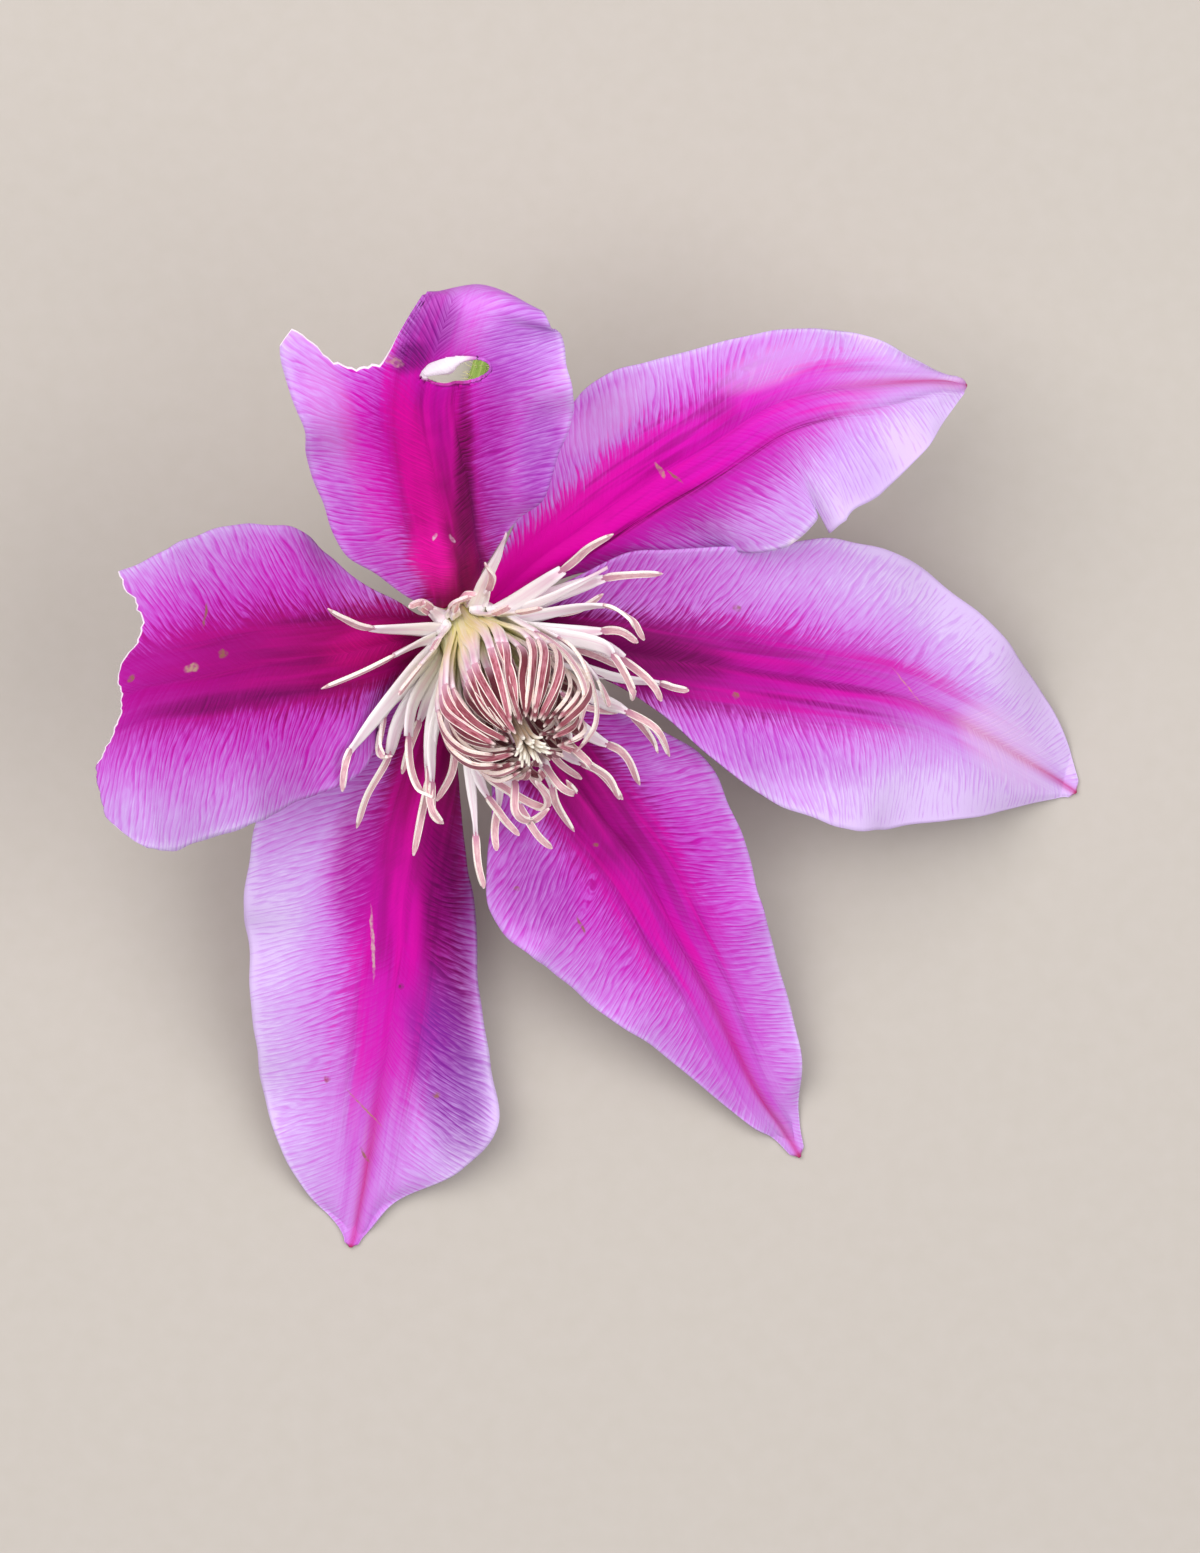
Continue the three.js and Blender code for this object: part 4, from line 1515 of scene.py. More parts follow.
# Each row is an outer stamen: its girth, the share of its path where its anther starts, 1 for none,
# and the azimuth in degrees, radius and height of the points that it passes after its root.
OUTER_STAMENS = (
    (0.7, 0.5, (2, 8.4, 15), (4, 8.2, 20), (6, 9.6, 23.4), (10, 12.6, 22.4), (13, 9.4, 23.6)),
    (0.7, 0.5, (-24, 8.3, 15), (-22, 8.6, 20), (-26, 11.4, 23), (-16, 14.0, 22), (-6, 12.0, 23.4)),
    (0.7, 0.5, (26, 8.4, 15), (30, 8.8, 20), (30, 10.6, 22.6), (24, 12.4, 21)),
    (0.7, 0.44, (-42, 8.4, 9), (-38, 10.4, 15), (-24, 11.2, 19), (-9, 13.0, 21.5), (-5, 10.8, 23),
     (-12, 6, 25)),
    (0.8, 0.4, (94, 7.6, 8), (89, 10.2, 14), (72, 10.4, 18.6), (56, 9.8, 21.6), (33, 8.4, 22.6)),
    (0.8, 0.42, (112, 6.2, 7), (106, 8.2, 12.6), (98, 9.2, 17), (84, 8.9, 21), (62, 6.8, 24)),
    (0.8, 0.42, (-58, 8.0, 7), (-54, 9.9, 12.6), (-43, 9.2, 17), (-29, 7.6, 21.4), (-16, 4.6, 25)),
    (1.7, 0.8, (100, 5.2, 4.6), (79, 8.0, 8), (65, 11.2, 10), (54, 13.5, 11.5), (44, 15.4, 13)),
    (0.8, 0.62, (36, 9.6, 12), (21, 12.1, 16), (22, 14.3, 18), (23, 17.0, 19), (19, 20.1, 19.5)),
    (0.9, 0.6, (-96, 8.0, 5.6), (-92, 12.8, 8), (-85, 15.1, 9.4), (-80, 16.4, 10.8), (-80, 15.0, 12.4)),
    (0.9, 0.6, (-60, 11, 9), (-54, 14.7, 12), (-50, 17.9, 14), (-45, 19.0, 14.6)),
    (0.8, 0.5, (-176, 4.6, 3.6), (179, 8.6, 7), (172, 10.8, 8.6), (164, 11.2, 9.6)),
    (0.9, 0.6, (-154, 5.4, 2.4), (-159, 9.8, 4.6), (-166, 11.4, 6.6)),
    (1.2, 0.75, (-150, 4.4, 4), (-152, 7.4, 8.4), (-150, 9.6, 12)),
    (1.2, 0.75, (150, 4.2, 4), (150, 7.2, 8.6), (146, 10.4, 12)),
    (1.2, 0.7, (-120, 4.8, 4.4), (-120, 8.4, 8.6), (-116, 12, 12.6)),
    (1.2, 0.7, (125, 4.8, 4.4), (124, 8.0, 8.6), (127, 11.4, 12.8)),
    (1.25, 1.0, (154, 9.9, 6), (152, 15.8, 9), (152, 20.1, 11)),
    (0.8, 0.6, (146, 6.3, 4), (154, 12.6, 9), (160, 16.4, 11)),
    (1.25, 0.56, (119, 7, 5), (121, 16.2, 10), (124, 20.8, 13), (123, 24.5, 15)),
    (1.3, 0.6, (104, 10.6, 6), (107, 17.5, 11), (106, 21.1, 14), (99, 23.9, 14)),
    (1.0, 1.0, (110, 9.6, 7), (112, 15.2, 10.5), (111, 19.4, 12)),
    (1.15, 0.6, (95, 8.7, 6), (102, 15.6, 13), (96, 17.7, 16), (83, 18.1, 16)),
    (1.0, 0.6, (80, 12.2, 9), (85, 15.8, 13), (78, 17.6, 14)),
    (1.2, 0.55, (77, 12.9, 11), (74, 14.5, 14), (62, 15.9, 16), (54, 16.6, 15.6)),
    (1.0, 0.52, (71, 13.3, 9), (65, 16.9, 13), (60, 19, 15), (53, 20.6, 15)),
    (0.85, 0.6, (51, 15.9, 8.9), (54, 21.1, 11.4), (54, 22.9, 12.4), (54, 24.7, 13)),
    (1.0, 0.6, (41, 15.1, 10), (44, 17.3, 13), (44, 20.6, 16), (36, 24.3, 16)),
    (0.85, 0.6, (40, 15.2, 8.6), (41, 18.9, 11.6), (37, 22.2, 13.4), (34, 23.7, 14.4)),
    (1.1, 0.6, (27, 14.9, 12), (30, 19.1, 15), (24, 23.4, 16)),
    (1.1, 0.6, (14, 13.3, 13), (20, 17.6, 16), (18, 22.4, 17)),
    (0.9, 0.6, (3, 11.6, 16), (-1, 16, 18), (0, 21.3, 18)),
    (1.1, 0.6, (-18, 13, 13), (-12, 19.9, 16), (-8, 23.4, 16.6)),
    (1.1, 0.6, (-30, 13.7, 11), (-23, 17.3, 15), (-17, 20.4, 16)),
    (0.8, 0.6, (-19, 15, 11), (-24, 20.1, 14), (-24, 22.7, 15)),
    (0.8, 0.66, (-34, 12.4, 9.6), (-31, 18.6, 13), (-30, 23.6, 15.4), (-28, 27, 16.4)),
    (1.0, 0.56, (-63, 9.9, 8), (-55, 14.3, 11), (-52, 17.2, 14), (-45, 18.8, 15)),
    (1.0, 0.58, (-56, 11.8, 7.6), (-52, 15.8, 10.6), (-50, 20.2, 12.6), (-47, 25, 13)),
    (1.0, 0.5, (-86, 9.9, 8), (-73, 13.6, 12), (-65, 15.3, 15), (-56, 15.3, 16)),
    (1.35, 0.56, (-83, 11.9, 8), (-74, 16, 10), (-72, 20.7, 12), (-66, 24.8, 12)),
    (0.8, 0.6, (-101, 11.3, 7.6), (-85, 15.3, 10.4), (-81, 16.1, 12)),
    (1.5, 0.66, (-108, 9, 7.2), (-96, 17.5, 12.2), (-95, 19.8, 14.3), (-85, 22.1, 14.8)),
    (1.1, 0.6, (-129, 7.6, 5), (-122, 15.2, 9), (-121, 21.5, 12)),
    (1.3, 0.56, (-143, 8.4, 5), (-143, 16.8, 9), (-146, 21.7, 11), (-148, 24.9, 12)),
    (0.9, 0.6, (-173, 6, 4), (178, 9.9, 8), (168, 11.4, 10)),
    (1.1, 0.6, (-160, 6, 3), (-163, 10.6, 5.4), (-158, 12.8, 7)),
    (1.2, 0.6, (64, 8.6, 5), (62, 13.4, 8.4), (57, 17, 9.8)),
    (1.0, 0.6, (33, 9.2, 6.6), (34, 14, 9.4), (38, 18.4, 10.4)),
    (1.0, 0.6, (11, 9.8, 8), (8, 15.4, 11.4), (11, 19.8, 12.2)),
    (1.0, 0.6, (-8, 9.8, 8.6), (-5, 15.4, 12), (-1, 19, 13.6)),
    (1.0, 0.6, (-42, 9.6, 7), (-40, 14.4, 9.4), (-44, 18.4, 10.6)),
    (1.1, 0.6, (-70, 8.8, 6), (-66, 13, 8), (-61, 17, 9.2)),
    (1.2, 0.6, (88, 8, 4.6), (90, 12.8, 7.6), (95, 16.4, 9)),
)


@dataclass(frozen=True)
class OuterStamen:
    """One outer stamen, from a row of OUTER_STAMENS."""

    girth: float
    joint: float
    points: Sequence[tuple[float, float, float]]

    @property
    def kind(self) -> StamenKind:
        """A stamen whose filament takes all of its path is a blade."""
        return StamenKind.BLADE if self.joint == 1 else StamenKind.ANTHER


@dataclass
class Stamens:
    """What the outer and the inner stamens share: their measures, and how they are bent and dressed."""

    blanks: dict[str, Piece]
    filament_widths: Curve = ()
    anther_widths: Curve = ()
    strap_thickness: float = 0.4
    anther_thickness: float = 0.5
    overlap: float = 0.02

    def bend(self, number: int, path: Spline, across: Rows, joint: float, girth: float, twist: float,
             anther_twist: float) -> tuple[Piece, Piece]:
        """Bends one stamen's filament and its anther.

        Args:
            number: the stamen's number.
            path: its path in the flower's frame.
            across: the direction across its root.
            joint: the share of the path where the anther starts.
            girth: how broad the filament is beside the plain one.
            twist: how far the filament turns about its path, in radians, and the anther's root too.
            anther_twist: how far the anther turns from there on.

        Returns:
            The filament and the anther.
        """
        widths = [(place, size * girth) for place, size in self.filament_widths]
        filament = Strap(path, across, 0, joint + self.overlap, widths, self.strap_thickness, twist)
        lean = np.cross(path.heading(np.array([joint]))[0], across)
        turned = across * math.cos(twist) + lean * math.sin(twist)
        anther = Strap(path, turned, joint, 1, self.anther_widths, self.anther_thickness, anther_twist)
        return filament.bend(self.blanks["filament"], number), anther.bend(self.blanks["anther"], number)

    @staticmethod
    def complete(where: str, filaments: Sequence[Piece], anthers: Sequence[Piece],
                 filament: FilamentFinish, anther: AntherFinish) -> list[Piece]:
        """Joins, dresses and hands over the filaments and the anthers.

        Args:
            where: outer or inner.
            filaments: the bent filaments.
            anthers: the bent anthers.
            filament: the filaments' finish.
            anther: the anthers' finish.

        Returns:
            The two finished pieces.
        """
        made = []
        for parts, part, finish in ((filaments, "filament", filament), (anthers, "anther", anther)):
            made.append((join(parts, f"{where}_{part}s", finish.make(f"{where} {part}")), part))
        return [hand_over(piece, f"{where}_stamens") for piece, part in made]


@dataclass
class OuterStamens(Stamens):
    """The outer stamens: broad white filaments that lean out, with slender curled anthers."""

    filament_widths: Curve = ((0, 1.2), (0.15, 1.6), (0.35, 1.9), (0.52, 1.5), (0.62, 0.75), (1, 0.6))
    anther_widths: Curve = ((0, 0.9), (0.5, 0.95), (0.7, 0.95), (1, 0.72))
    root: tuple[float, float] = (3.7, 0.2)
    neck: tuple[float, float] = (4.9, 3.2)

    def route(self, stamen: OuterStamen) -> tuple[Spline, Rows]:
        """How one stamen runs.

        Args:
            stamen: the stamen.

        Returns:
            Its path and the direction across its root.
        """
        first = math.radians(stamen.points[0][0])
        points = [polar(radius, first, height) for radius, height in (self.root, self.neck)]
        points += [polar(radius, math.radians(azimuth), height) for azimuth, radius, height in stamen.points]
        return Spline(points), sideways(first)

    def build(self) -> list[Piece]:
        """Bends, joins and dresses the stamens.

        Returns:
            The filaments and the anthers.
        """
        filaments, anthers = [], []
        for number, (girth, joint, *points) in enumerate(OUTER_STAMENS):
            stamen = OuterStamen(girth, joint, points)
            path, across = self.route(stamen)
            twist = spread(number, 3, 0.5)
            if stamen.kind is StamenKind.BLADE:
                widths = ((0, 1.0), (0.3, 1.5 * girth), (1, 1.4))
                blade = Strap(path, across, 0, 1, widths, self.strap_thickness, twist)
                filaments.append(blade.bend(self.blanks["blade"], number))
                continue
            filament, anther = self.bend(number, path, across, joint, girth, twist, spread(number, 5, 1.1))
            filaments.append(filament)
            anthers.append(anther)
        finish = AntherFinish(rose="E6BCC0", maroon="D098A4", cream="FFF8F0")
        return self.complete("outer", filaments, anthers, FilamentFinish(0.5, (0.04, 0.3)), finish)


@dataclass(frozen=True)
class Whorl:
    """A ring of inner stamens: how many, the size of its arc and the turn of its first one."""

    count: int
    root: float
    girth: float
    height: float
    turn: float
    salt: int


@dataclass
class InnerStamens(Stamens):
    """The inner stamens, which bow out and back in over the styles as a ball."""

    filament_widths: Curve = ((0, 1.3), (0.15, 1.7), (0.3, 1.5), (0.5, 1.0), (1, 0.7))
    anther_widths: Curve = ((0, 0.9), (0.5, 1.06), (0.8, 0.98), (1, 0.7))
    anther_thickness: float = 0.62
    whorls: Sequence[Whorl] = (Whorl(18, 3.2, 1.04, 1.0, 0.1, 6), Whorl(17, 2.6, 0.96, 0.99, 0.0, 8),
                               Whorl(16, 2.0, 0.82, 0.97, 0.15, 10), Whorl(12, 1.6, 0.66, 0.94, 0.3, 12))
    root_height: float = 0.5
    arc: Curve = ((3.7, 4.8), (5.7, 9.4), (7.7, 14.2), (8.3, 18.6), (6.8, 22.4), (3.4, 25.0))
    swirl: float = math.radians(22)
    fuller_side: float = 0.1
    joint: float = 0.4
    back_joint: float = 0.2

    def route(self, whorl: Whorl, number: int) -> tuple[Spline, Rows, float]:
        """How one stamen runs.

        Args:
            whorl: its ring.
            number: its number in the ring.

        Returns:
            Its path, the direction across its root and where its anther starts.
        """
        salt = whorl.salt
        azimuth = FULL_TURN * number / whorl.count + whorl.turn + spread(number, salt + 2, 0.09)
        girth = whorl.girth * (1 + spread(number, salt, 0.07))
        height = whorl.height * (1 + spread(number, salt + 1, 0.04))
        sway, pinch = spread(number, salt + 3, 0.34), spread(number, salt + 4, 1.1)
        points = [polar(whorl.root, azimuth, self.root_height)]
        for place, (radius, rise) in enumerate(self.arc):
            share = (place + 1) / len(self.arc)
            turn = azimuth + (self.swirl + sway) * share ** 2 + spread(number * 7 + place, salt + 8, 0.07)
            bow = radius * girth * (1 + self.fuller_side * math.sin(turn)) + pinch * share ** 4
            points.append(polar(max(bow, whorl.root) if place == 0 else bow, turn, rise * height))
        joint = self.joint + self.back_joint * ((1 - math.cos(azimuth)) / 2) ** 1.5
        return Spline(points), sideways(azimuth), joint

    def build(self) -> list[Piece]:
        """Bends, joins and dresses the stamens.

        Returns:
            The filaments and the anthers.
        """
        made = []
        for whorl in self.whorls:
            for number in range(whorl.count):
                path, across, joint = self.route(whorl, number)
                twist = spread(number, whorl.salt + 5, 0.9)
                made.append(self.bend(number + 10 * whorl.salt, path, across, joint, 1, 0, twist))
        filaments, anthers = zip(*made)
        # the anthers of the inner whorls are darkened past depth as painted shade deep in the ball
        finish = AntherFinish(rose="CA808E", maroon="8E3442", cream="FFF0E8", shadow="E2B4C4", varied=0.7,
                              depth=(70.0, 112.0))
        return self.complete("inner", filaments, anthers, FilamentFinish(0.9, (0.45, 1.1)), finish)


@dataclass
class Styles:
    """The silky styles, a sheaf in the middle of the ball whose tips spread like a star."""

    blanks: dict[str, Piece]
    count: int = 26
    thickness: float = 0.5
    arc: Curve = ((0.8, 0.4), (0.85, 8), (0.8, 14), (0.75, 21), (0.85, 24.6), (1.15, 26.6), (1.75, 27.6))
    widths: Curve = ((0, 0.75), (0.7, 0.62), (1, 0.45))

    def build(self) -> Piece:
        """Bends, joins and dresses the styles.

        Returns:
            The finished piece.
        """
        threads = []
        for number in range(self.count):
            azimuth = GOLDEN_ANGLE * number
            size = 0.35 + 1.0 * math.sqrt((number + 0.5) / self.count)
            rise = 1 + spread(number, 21, 0.02)
            points = [polar(radius * size, azimuth + spread(number, 22, 0.5) * place / 7, height * rise)
                      for place, (radius, height) in enumerate(self.arc)]
            strap = Strap(Spline(points), sideways(azimuth), 0, 1, self.widths, self.thickness)
            threads.append(strap.bend(self.blanks["thread"], number))
        return hand_over(join(threads, "silky_styles", StyleFinish().make("style silk")), "styles")


@dataclass
class Stalk:
    """The receptacle and the stem that bends under the flower and lies on the surface."""

    radius: float = 1.5
    ribs: int = 6
    rings: int = 59
    hairs: int = 520
    hair_length: float = 0.95
    hair_width: float = 0.12
    lobes: int = 6
    bend: Sequence[tuple[float, float, float]] = (
        (-2.5, 5.0, -7.4), (-3.2, 9.6, -13.2), (-2.6, 15.6, -18.4), (-0.6, 22.6, -21.8),
        (1.6, 29.0, -22.45), (3.2, 34.5, -22.45))
    outline: Curve = ((0.0, 1.1), (1.2, 1.05), (2.4, 0.7), (3.5, 0.2), (3.9, -0.2), (3.95, -0.8),
                      (3.1, -1.9), (2.4, -3.0), (1.7, -4.3), (1.5, -4.6))

    def path(self) -> Spline:
        """The stem's middle line, from inside the receptacle to the cut end."""
        return Spline([tuple(FLOWER_AXES @ np.array((0.0, 0.0, -2.0))), *self.bend])

    def skin(self, share: Rows, angle: Rows) -> tuple[Rows, Rows]:
        """Places on the stem's skin.

        Args:
            share: how far along the stem each place is.
            angle: where round the stem it is, in radians.

        Returns:
            The places and the directions straight out of the skin.
        """
        path = self.path()
        along = path.heading(share)
        side = unit(np.cross(along, np.array((1.0, 0.0, 0.0))))
        out = side * np.cos(angle)[:, None] + np.cross(along, side) * np.sin(angle)[:, None]
        swell = 1 + 0.12 * bell(share, 0.06)
        radius = self.radius * swell * (0.95 + 0.05 * np.cos(self.ribs * angle))
        return path.at(share) + out * radius[:, None], out

    def down(self) -> list[Piece]:
        """Fine pale hairs that stand on the stem, each a bent copy of one tapered spike.

        Returns:
            The hairs.
        """
        start_fresh()
        bpy.ops.mesh.primitive_cone_add(vertices=3, radius1=1, radius2=0.2, depth=1, location=(0, 0, 0.5))
        spike = settle("spike")
        with editing(spike):
            cut_across(2, (0.5,))
        flat = points_of(spike.data)
        copies = []
        for number in range(self.hairs):
            share = np.array([0.05 + 0.9 * scatter(number, 31)])
            foot, out = self.skin(share, np.array([FULL_TURN * scatter(number, 32)]))
            along = self.path().heading(share)[0]
            side = np.cross(along, out[0])
            size = self.hair_length * (0.6 + 0.8 * scatter(number, 33))
            bent = along * spread(number, 34, 0.5) + side * spread(number, 35, 0.5)
            rise = flat[:, 2:] * size
            points = foot[0] + out[0] * (rise - 0.1) + bent * rise ** 2 / size
            points += (side * flat[:, :1] + along * flat[:, 1:2]) * self.hair_width / 2
            copies.append(add_object(f"hair_{number}", spike.data.copy()))
            note(copies[-1].data, "strap", 0, -1, 0)
            self._lay(copies[-1].data, points)
        bpy.data.objects.remove(spike)
        return copies

    @staticmethod
    def _lay(mesh: bpy.types.Mesh, points: Rows) -> None:
        """Places the points, measured from the receptacle, and lifts any that lie below the surface."""
        points[:, 2] = np.maximum(points[:, 2], -RECEPTACLE[2])
        set_points(mesh, (RECEPTACLE + points) * MM)

    def stem(self) -> Piece:
        """A ribbed round stem with a hollowed cut end, bent along its path.

        Returns:
            The stem.
        """
        start_fresh()
        bpy.ops.mesh.primitive_cylinder_add(vertices=36, radius=1, depth=1, location=(0, 0, 0.5))
        stem = settle("stem")
        top = np.array([face.normal.z > 0.9 for face in stem.data.polygons])
        with editing(stem):
            select_parts(stem, top, "FACE")
            for inward, down in ((0.16, 0.0), (0.3, -0.006), (0.25, -0.004)):
                bpy.ops.mesh.inset(thickness=inward, depth=down)
            cut_across(2, even_places(self.rings))
        x, y, share = points_of(stem.data).T
        angle, around = np.arctan2(y, x), np.hypot(x, y)
        middle = self.path().at(share)
        note(stem.data, "strap", np.cos(angle) + np.sin(angle), share, around)
        self._lay(stem.data, middle + (self.skin(share, angle)[0] - middle) * around[:, None])
        return stem

    def receptacle(self) -> Piece:
        """A small cushion spun from its outline, which the sepals and the stamens stand on.

        Returns:
            The cushion.
        """
        start_fresh()
        bpy.ops.mesh.primitive_plane_add(size=1)
        cushion = settle("receptacle")
        mesh = cushion.data
        mesh.clear_geometry()
        rows = [(radius, 0.0, height) for radius, height in self.outline]
        mesh.from_pydata(rows, [(place, place + 1) for place in range(len(rows) - 1)], [])
        with editing(cushion):
            bpy.ops.mesh.select_all(action="SELECT")
            bpy.ops.mesh.spin(steps=40, angle=FULL_TURN, center=(0, 0, 0), axis=(0, 0, 1))
            bpy.ops.mesh.select_all(action="SELECT")
            bpy.ops.mesh.remove_doubles(threshold=1e-4)
            bpy.ops.mesh.normals_make_consistent(inside=False)
        flat = points_of(mesh)
        angle = np.arctan2(flat[:, 1], flat[:, 0])
        swell = 1 + 0.03 * np.cos(self.lobes * angle) * (flat[:, 2] < 0)
        flat[:, :2] *= swell[:, None]
        note(mesh, "strap", np.cos(angle) * 2, np.where(flat[:, 2] > -0.5, -1.0, 0.0), angle)
        set_points(mesh, (RECEPTACLE + flat @ FLOWER_AXES.T) * MM)
        return cushion

    def build(self) -> Piece:
        """Joins and dresses the stem, its hairs and the receptacle, and returns the finished piece."""
        parts = [self.stem(), self.receptacle(), *self.down()]
        return hand_over(join(parts, "ribbed_stalk", StemFinish().make("stem green")), "stalk")


# The flower's sepals, clockwise from the top one.


def sepal_top() -> Sepal:
    """The top sepal, folded back over itself, with its hole and its bitten left side.

    Returns:
        The sepal.
    """
    stations = (
        (-0.8, 5.8, 8.0, 6.0, 1.2, 2.6, 0.8), (-1.0, 9.0, 14.0, 9.2, 2.2, 4.4, 1.4),
        (-1.2, 12.5, 19.2, 13.2, 2.6, 7.2, 2.0), (-1.6, 16.5, 24.4, 14.8, 2.6, 10.8, 2.4),
        (-1.8, 20.5, 29.2, 16.4, 2.2, 12.6, 2.2), (-1.8, 24.5, 33.6, 17.0, 1.6, 14.4, 1.6),
        (-1.4, 28.3, 37.3, 19.4, 0.8, 14.0, 0.6), (-0.8, 31.9, 40.2, 20.8, 0.0, 12.8, -0.5),
        (-0.1, 35.0, 42.0, 18.4, -1.5, 11.6, -2.0), (0.5, 37.4, 42.3, 16.8, -2.5, 9.6, -3.0),
        (0.9, 38.9, 40.6, 14.0, -3.0, 7.6, -3.2), (1.1, 39.2, 37.4, 9.6, -2.2, 5.6, -2.2),
        (1.1, 38.6, 34.0, 4.6, -0.8, 2.6, -0.8), (1.0, 37.6, 32.0, 0.6, 0, 0.6, 0))
    # The dark patches are painted shade: the crease down the bar and its right side, the hood above the
    # hole, the hollow under the bitten corner and the right margin. The bright magenta and pale patches are
    # painted light on the bar's lit left side and base and on the left lobe.
    tint_and_shading_patches = (
        TintAndShadingPatch(-5.4, 17.5, 13, 2.8, 103, "EC00A4", 0.8), TintAndShadingPatch(0.0, 16, 14, 1.5, 90, "640044", 0.85),
        TintAndShadingPatch(3.4, 19, 14, 2.8, 88, "A0209E", 0.4), TintAndShadingPatch(-4.0, 34.8, 5.0, 4.0, 60, "7E1484", 0.7),
        TintAndShadingPatch(-6.3, 31.0, 2.6, 2.0, 20, "5A1060", 0.7), TintAndShadingPatch(7.0, 32.5, 7.5, 5.5, 60, "A048BE", 0.5),
        TintAndShadingPatch(-15.6, 25.0, 8.0, 3.0, 106, "F6C8FF", 0.2),
        TintAndShadingPatch(-10.6, 17.5, 11, 3.2, 104, "EE10C4", 0.4), TintAndShadingPatch(-3.8, 8.0, 4.5, 3.0, 105, "FF08B4", 0.8),
        TintAndShadingPatch(9.0, 19.5, 8.0, 3.4, 90, "9038B0", 0.45))
    # The two pale pink flecks near the base are painted glints; the other mark is a blemish.
    marks = (
        Mark(-8.2, 30.6, 1.3, 0.5, -20, "C88C9C"), Mark(-3.5, 10.4, 0.5, 0.25, 70, "F6D9EE"),
        Mark(-1.4, 10.2, 0.6, 0.25, 120, "F6D9EE"))
    face = SepalFace(seed=3.0, core="B0006C", middle="BE0096", shade=0.15, lift=-0.03, tint_and_shading_patches=tint_and_shading_patches,
                     marks=marks)
    return Sepal("sepal_top", base=171, heading=95, waves=4.5, phase=0.4, stations=stations, face=face,
                 ridge=0.0, hole=Hole(u=0.525, v=-0.02, length=8, width=4.0, turn=8), calm_from=0.5,
                 creases=(1.0, 0.3, 0.2),
                 end=((-1, 1), (0.1, 1), (0.2, 0.94), (0.27, 0.84), (0.3, 0.72), (0.325, 0.6),
                      (0.385, 0.54), (0.45, 0.523), (0.64, 0.52), (0.79, 0.547), (0.91, 0.578),
                      (0.97, 0.56), (1, 0.54)),
                 shift=((0, 0), (0.12, 0.5), (0.3, 1.8), (0.45, 2.8), (0.55, 2.6), (1, 0)),
                 fading=((0, 0, 4, 0.02, 0.45), (0.15, 0, 5, 0.03, 0.5), (0.28, 0, 9, 0.04, 0.52),
                         (0.43, 1, 16, 0.1, 0.66), (0.52, 0.5, 17, 0.24, 0.74), (0.6, 0, 16, 0.54, 0.84),
                         (0.73, 0, 16, 0.62, 0.86), (1, 0, 16, 0.66, 0.86)))


def sepal_upper_right() -> Sepal:
    """The upper right sepal, with the small tear in its lower margin.

    Returns:
        The sepal.
    """
    stations = (
        (8.8, 7.9, 2.0, 5.4, 1.0, 4.2, -0.4), (15.0, 12.2, 4.0, 10.0, 2.0, 6.8, -2.0),
        (22.1, 17.0, 6.4, 13.4, 2.2, 10.2, -4.2), (28.4, 20.9, 8.4, 12.4, 1.2, 14.7, -5.0),
        (35.5, 25.6, 9.4, 9.2, 0.0, 16.8, -4.6), (42.0, 27.8, 8.6, 7.6, -0.8, 15.6, -2.6),
        (48.2, 28.5, 7.0, 6.2, -0.8, 12.9, -1.6), (54.0, 28.8, 4.3, 3.0, -0.4, 8.0, -0.8),
        (58.0, 28.7, 2.2, 1.2, -0.2, 3.0, -0.2), (59.7, 28.5, 1.0, 0.6, 0, 0.6, 0))
    tint_and_shading_patches = (
        TintAndShadingPatch(36.5, 30.8, 8.0, 2.6, 22, "DCB0F6", 0.5), TintAndShadingPatch(16.8, 24.6, 7.5, 3.0, 42, "F4C8FF", 0.25),
        TintAndShadingPatch(46.2, 19.0, 5.0, 5.0, 0, "C488E6", 0.4))
    marks = (
        Mark(23.2, 18.4, 1.1, 0.3, -60, "C7A27E"), Mark(25, 17.6, 1.3, 0.2, -40))
    # The bright core is painted light on the hot pink base that faces the lamps, and fold_shade paints shade
    # under the rib.
    face = SepalFace(seed=11.0, core="F800B8", middle="E800C4", lift=0.03, fold_shade_strength=0.7, tint_and_shading_patches=tint_and_shading_patches,
                     marks=marks, fold_shade="BC1CAE", dim=0.15)
    return Sepal("sepal_upper_right", base=105, heading=27, waves=5, phase=2.2, stations=stations,
                 face=face, tear=Tear(start=0.412, u=0.515, end=0.548, depth=0.21),
                 creases=(1.0, 0.25, 0.1))


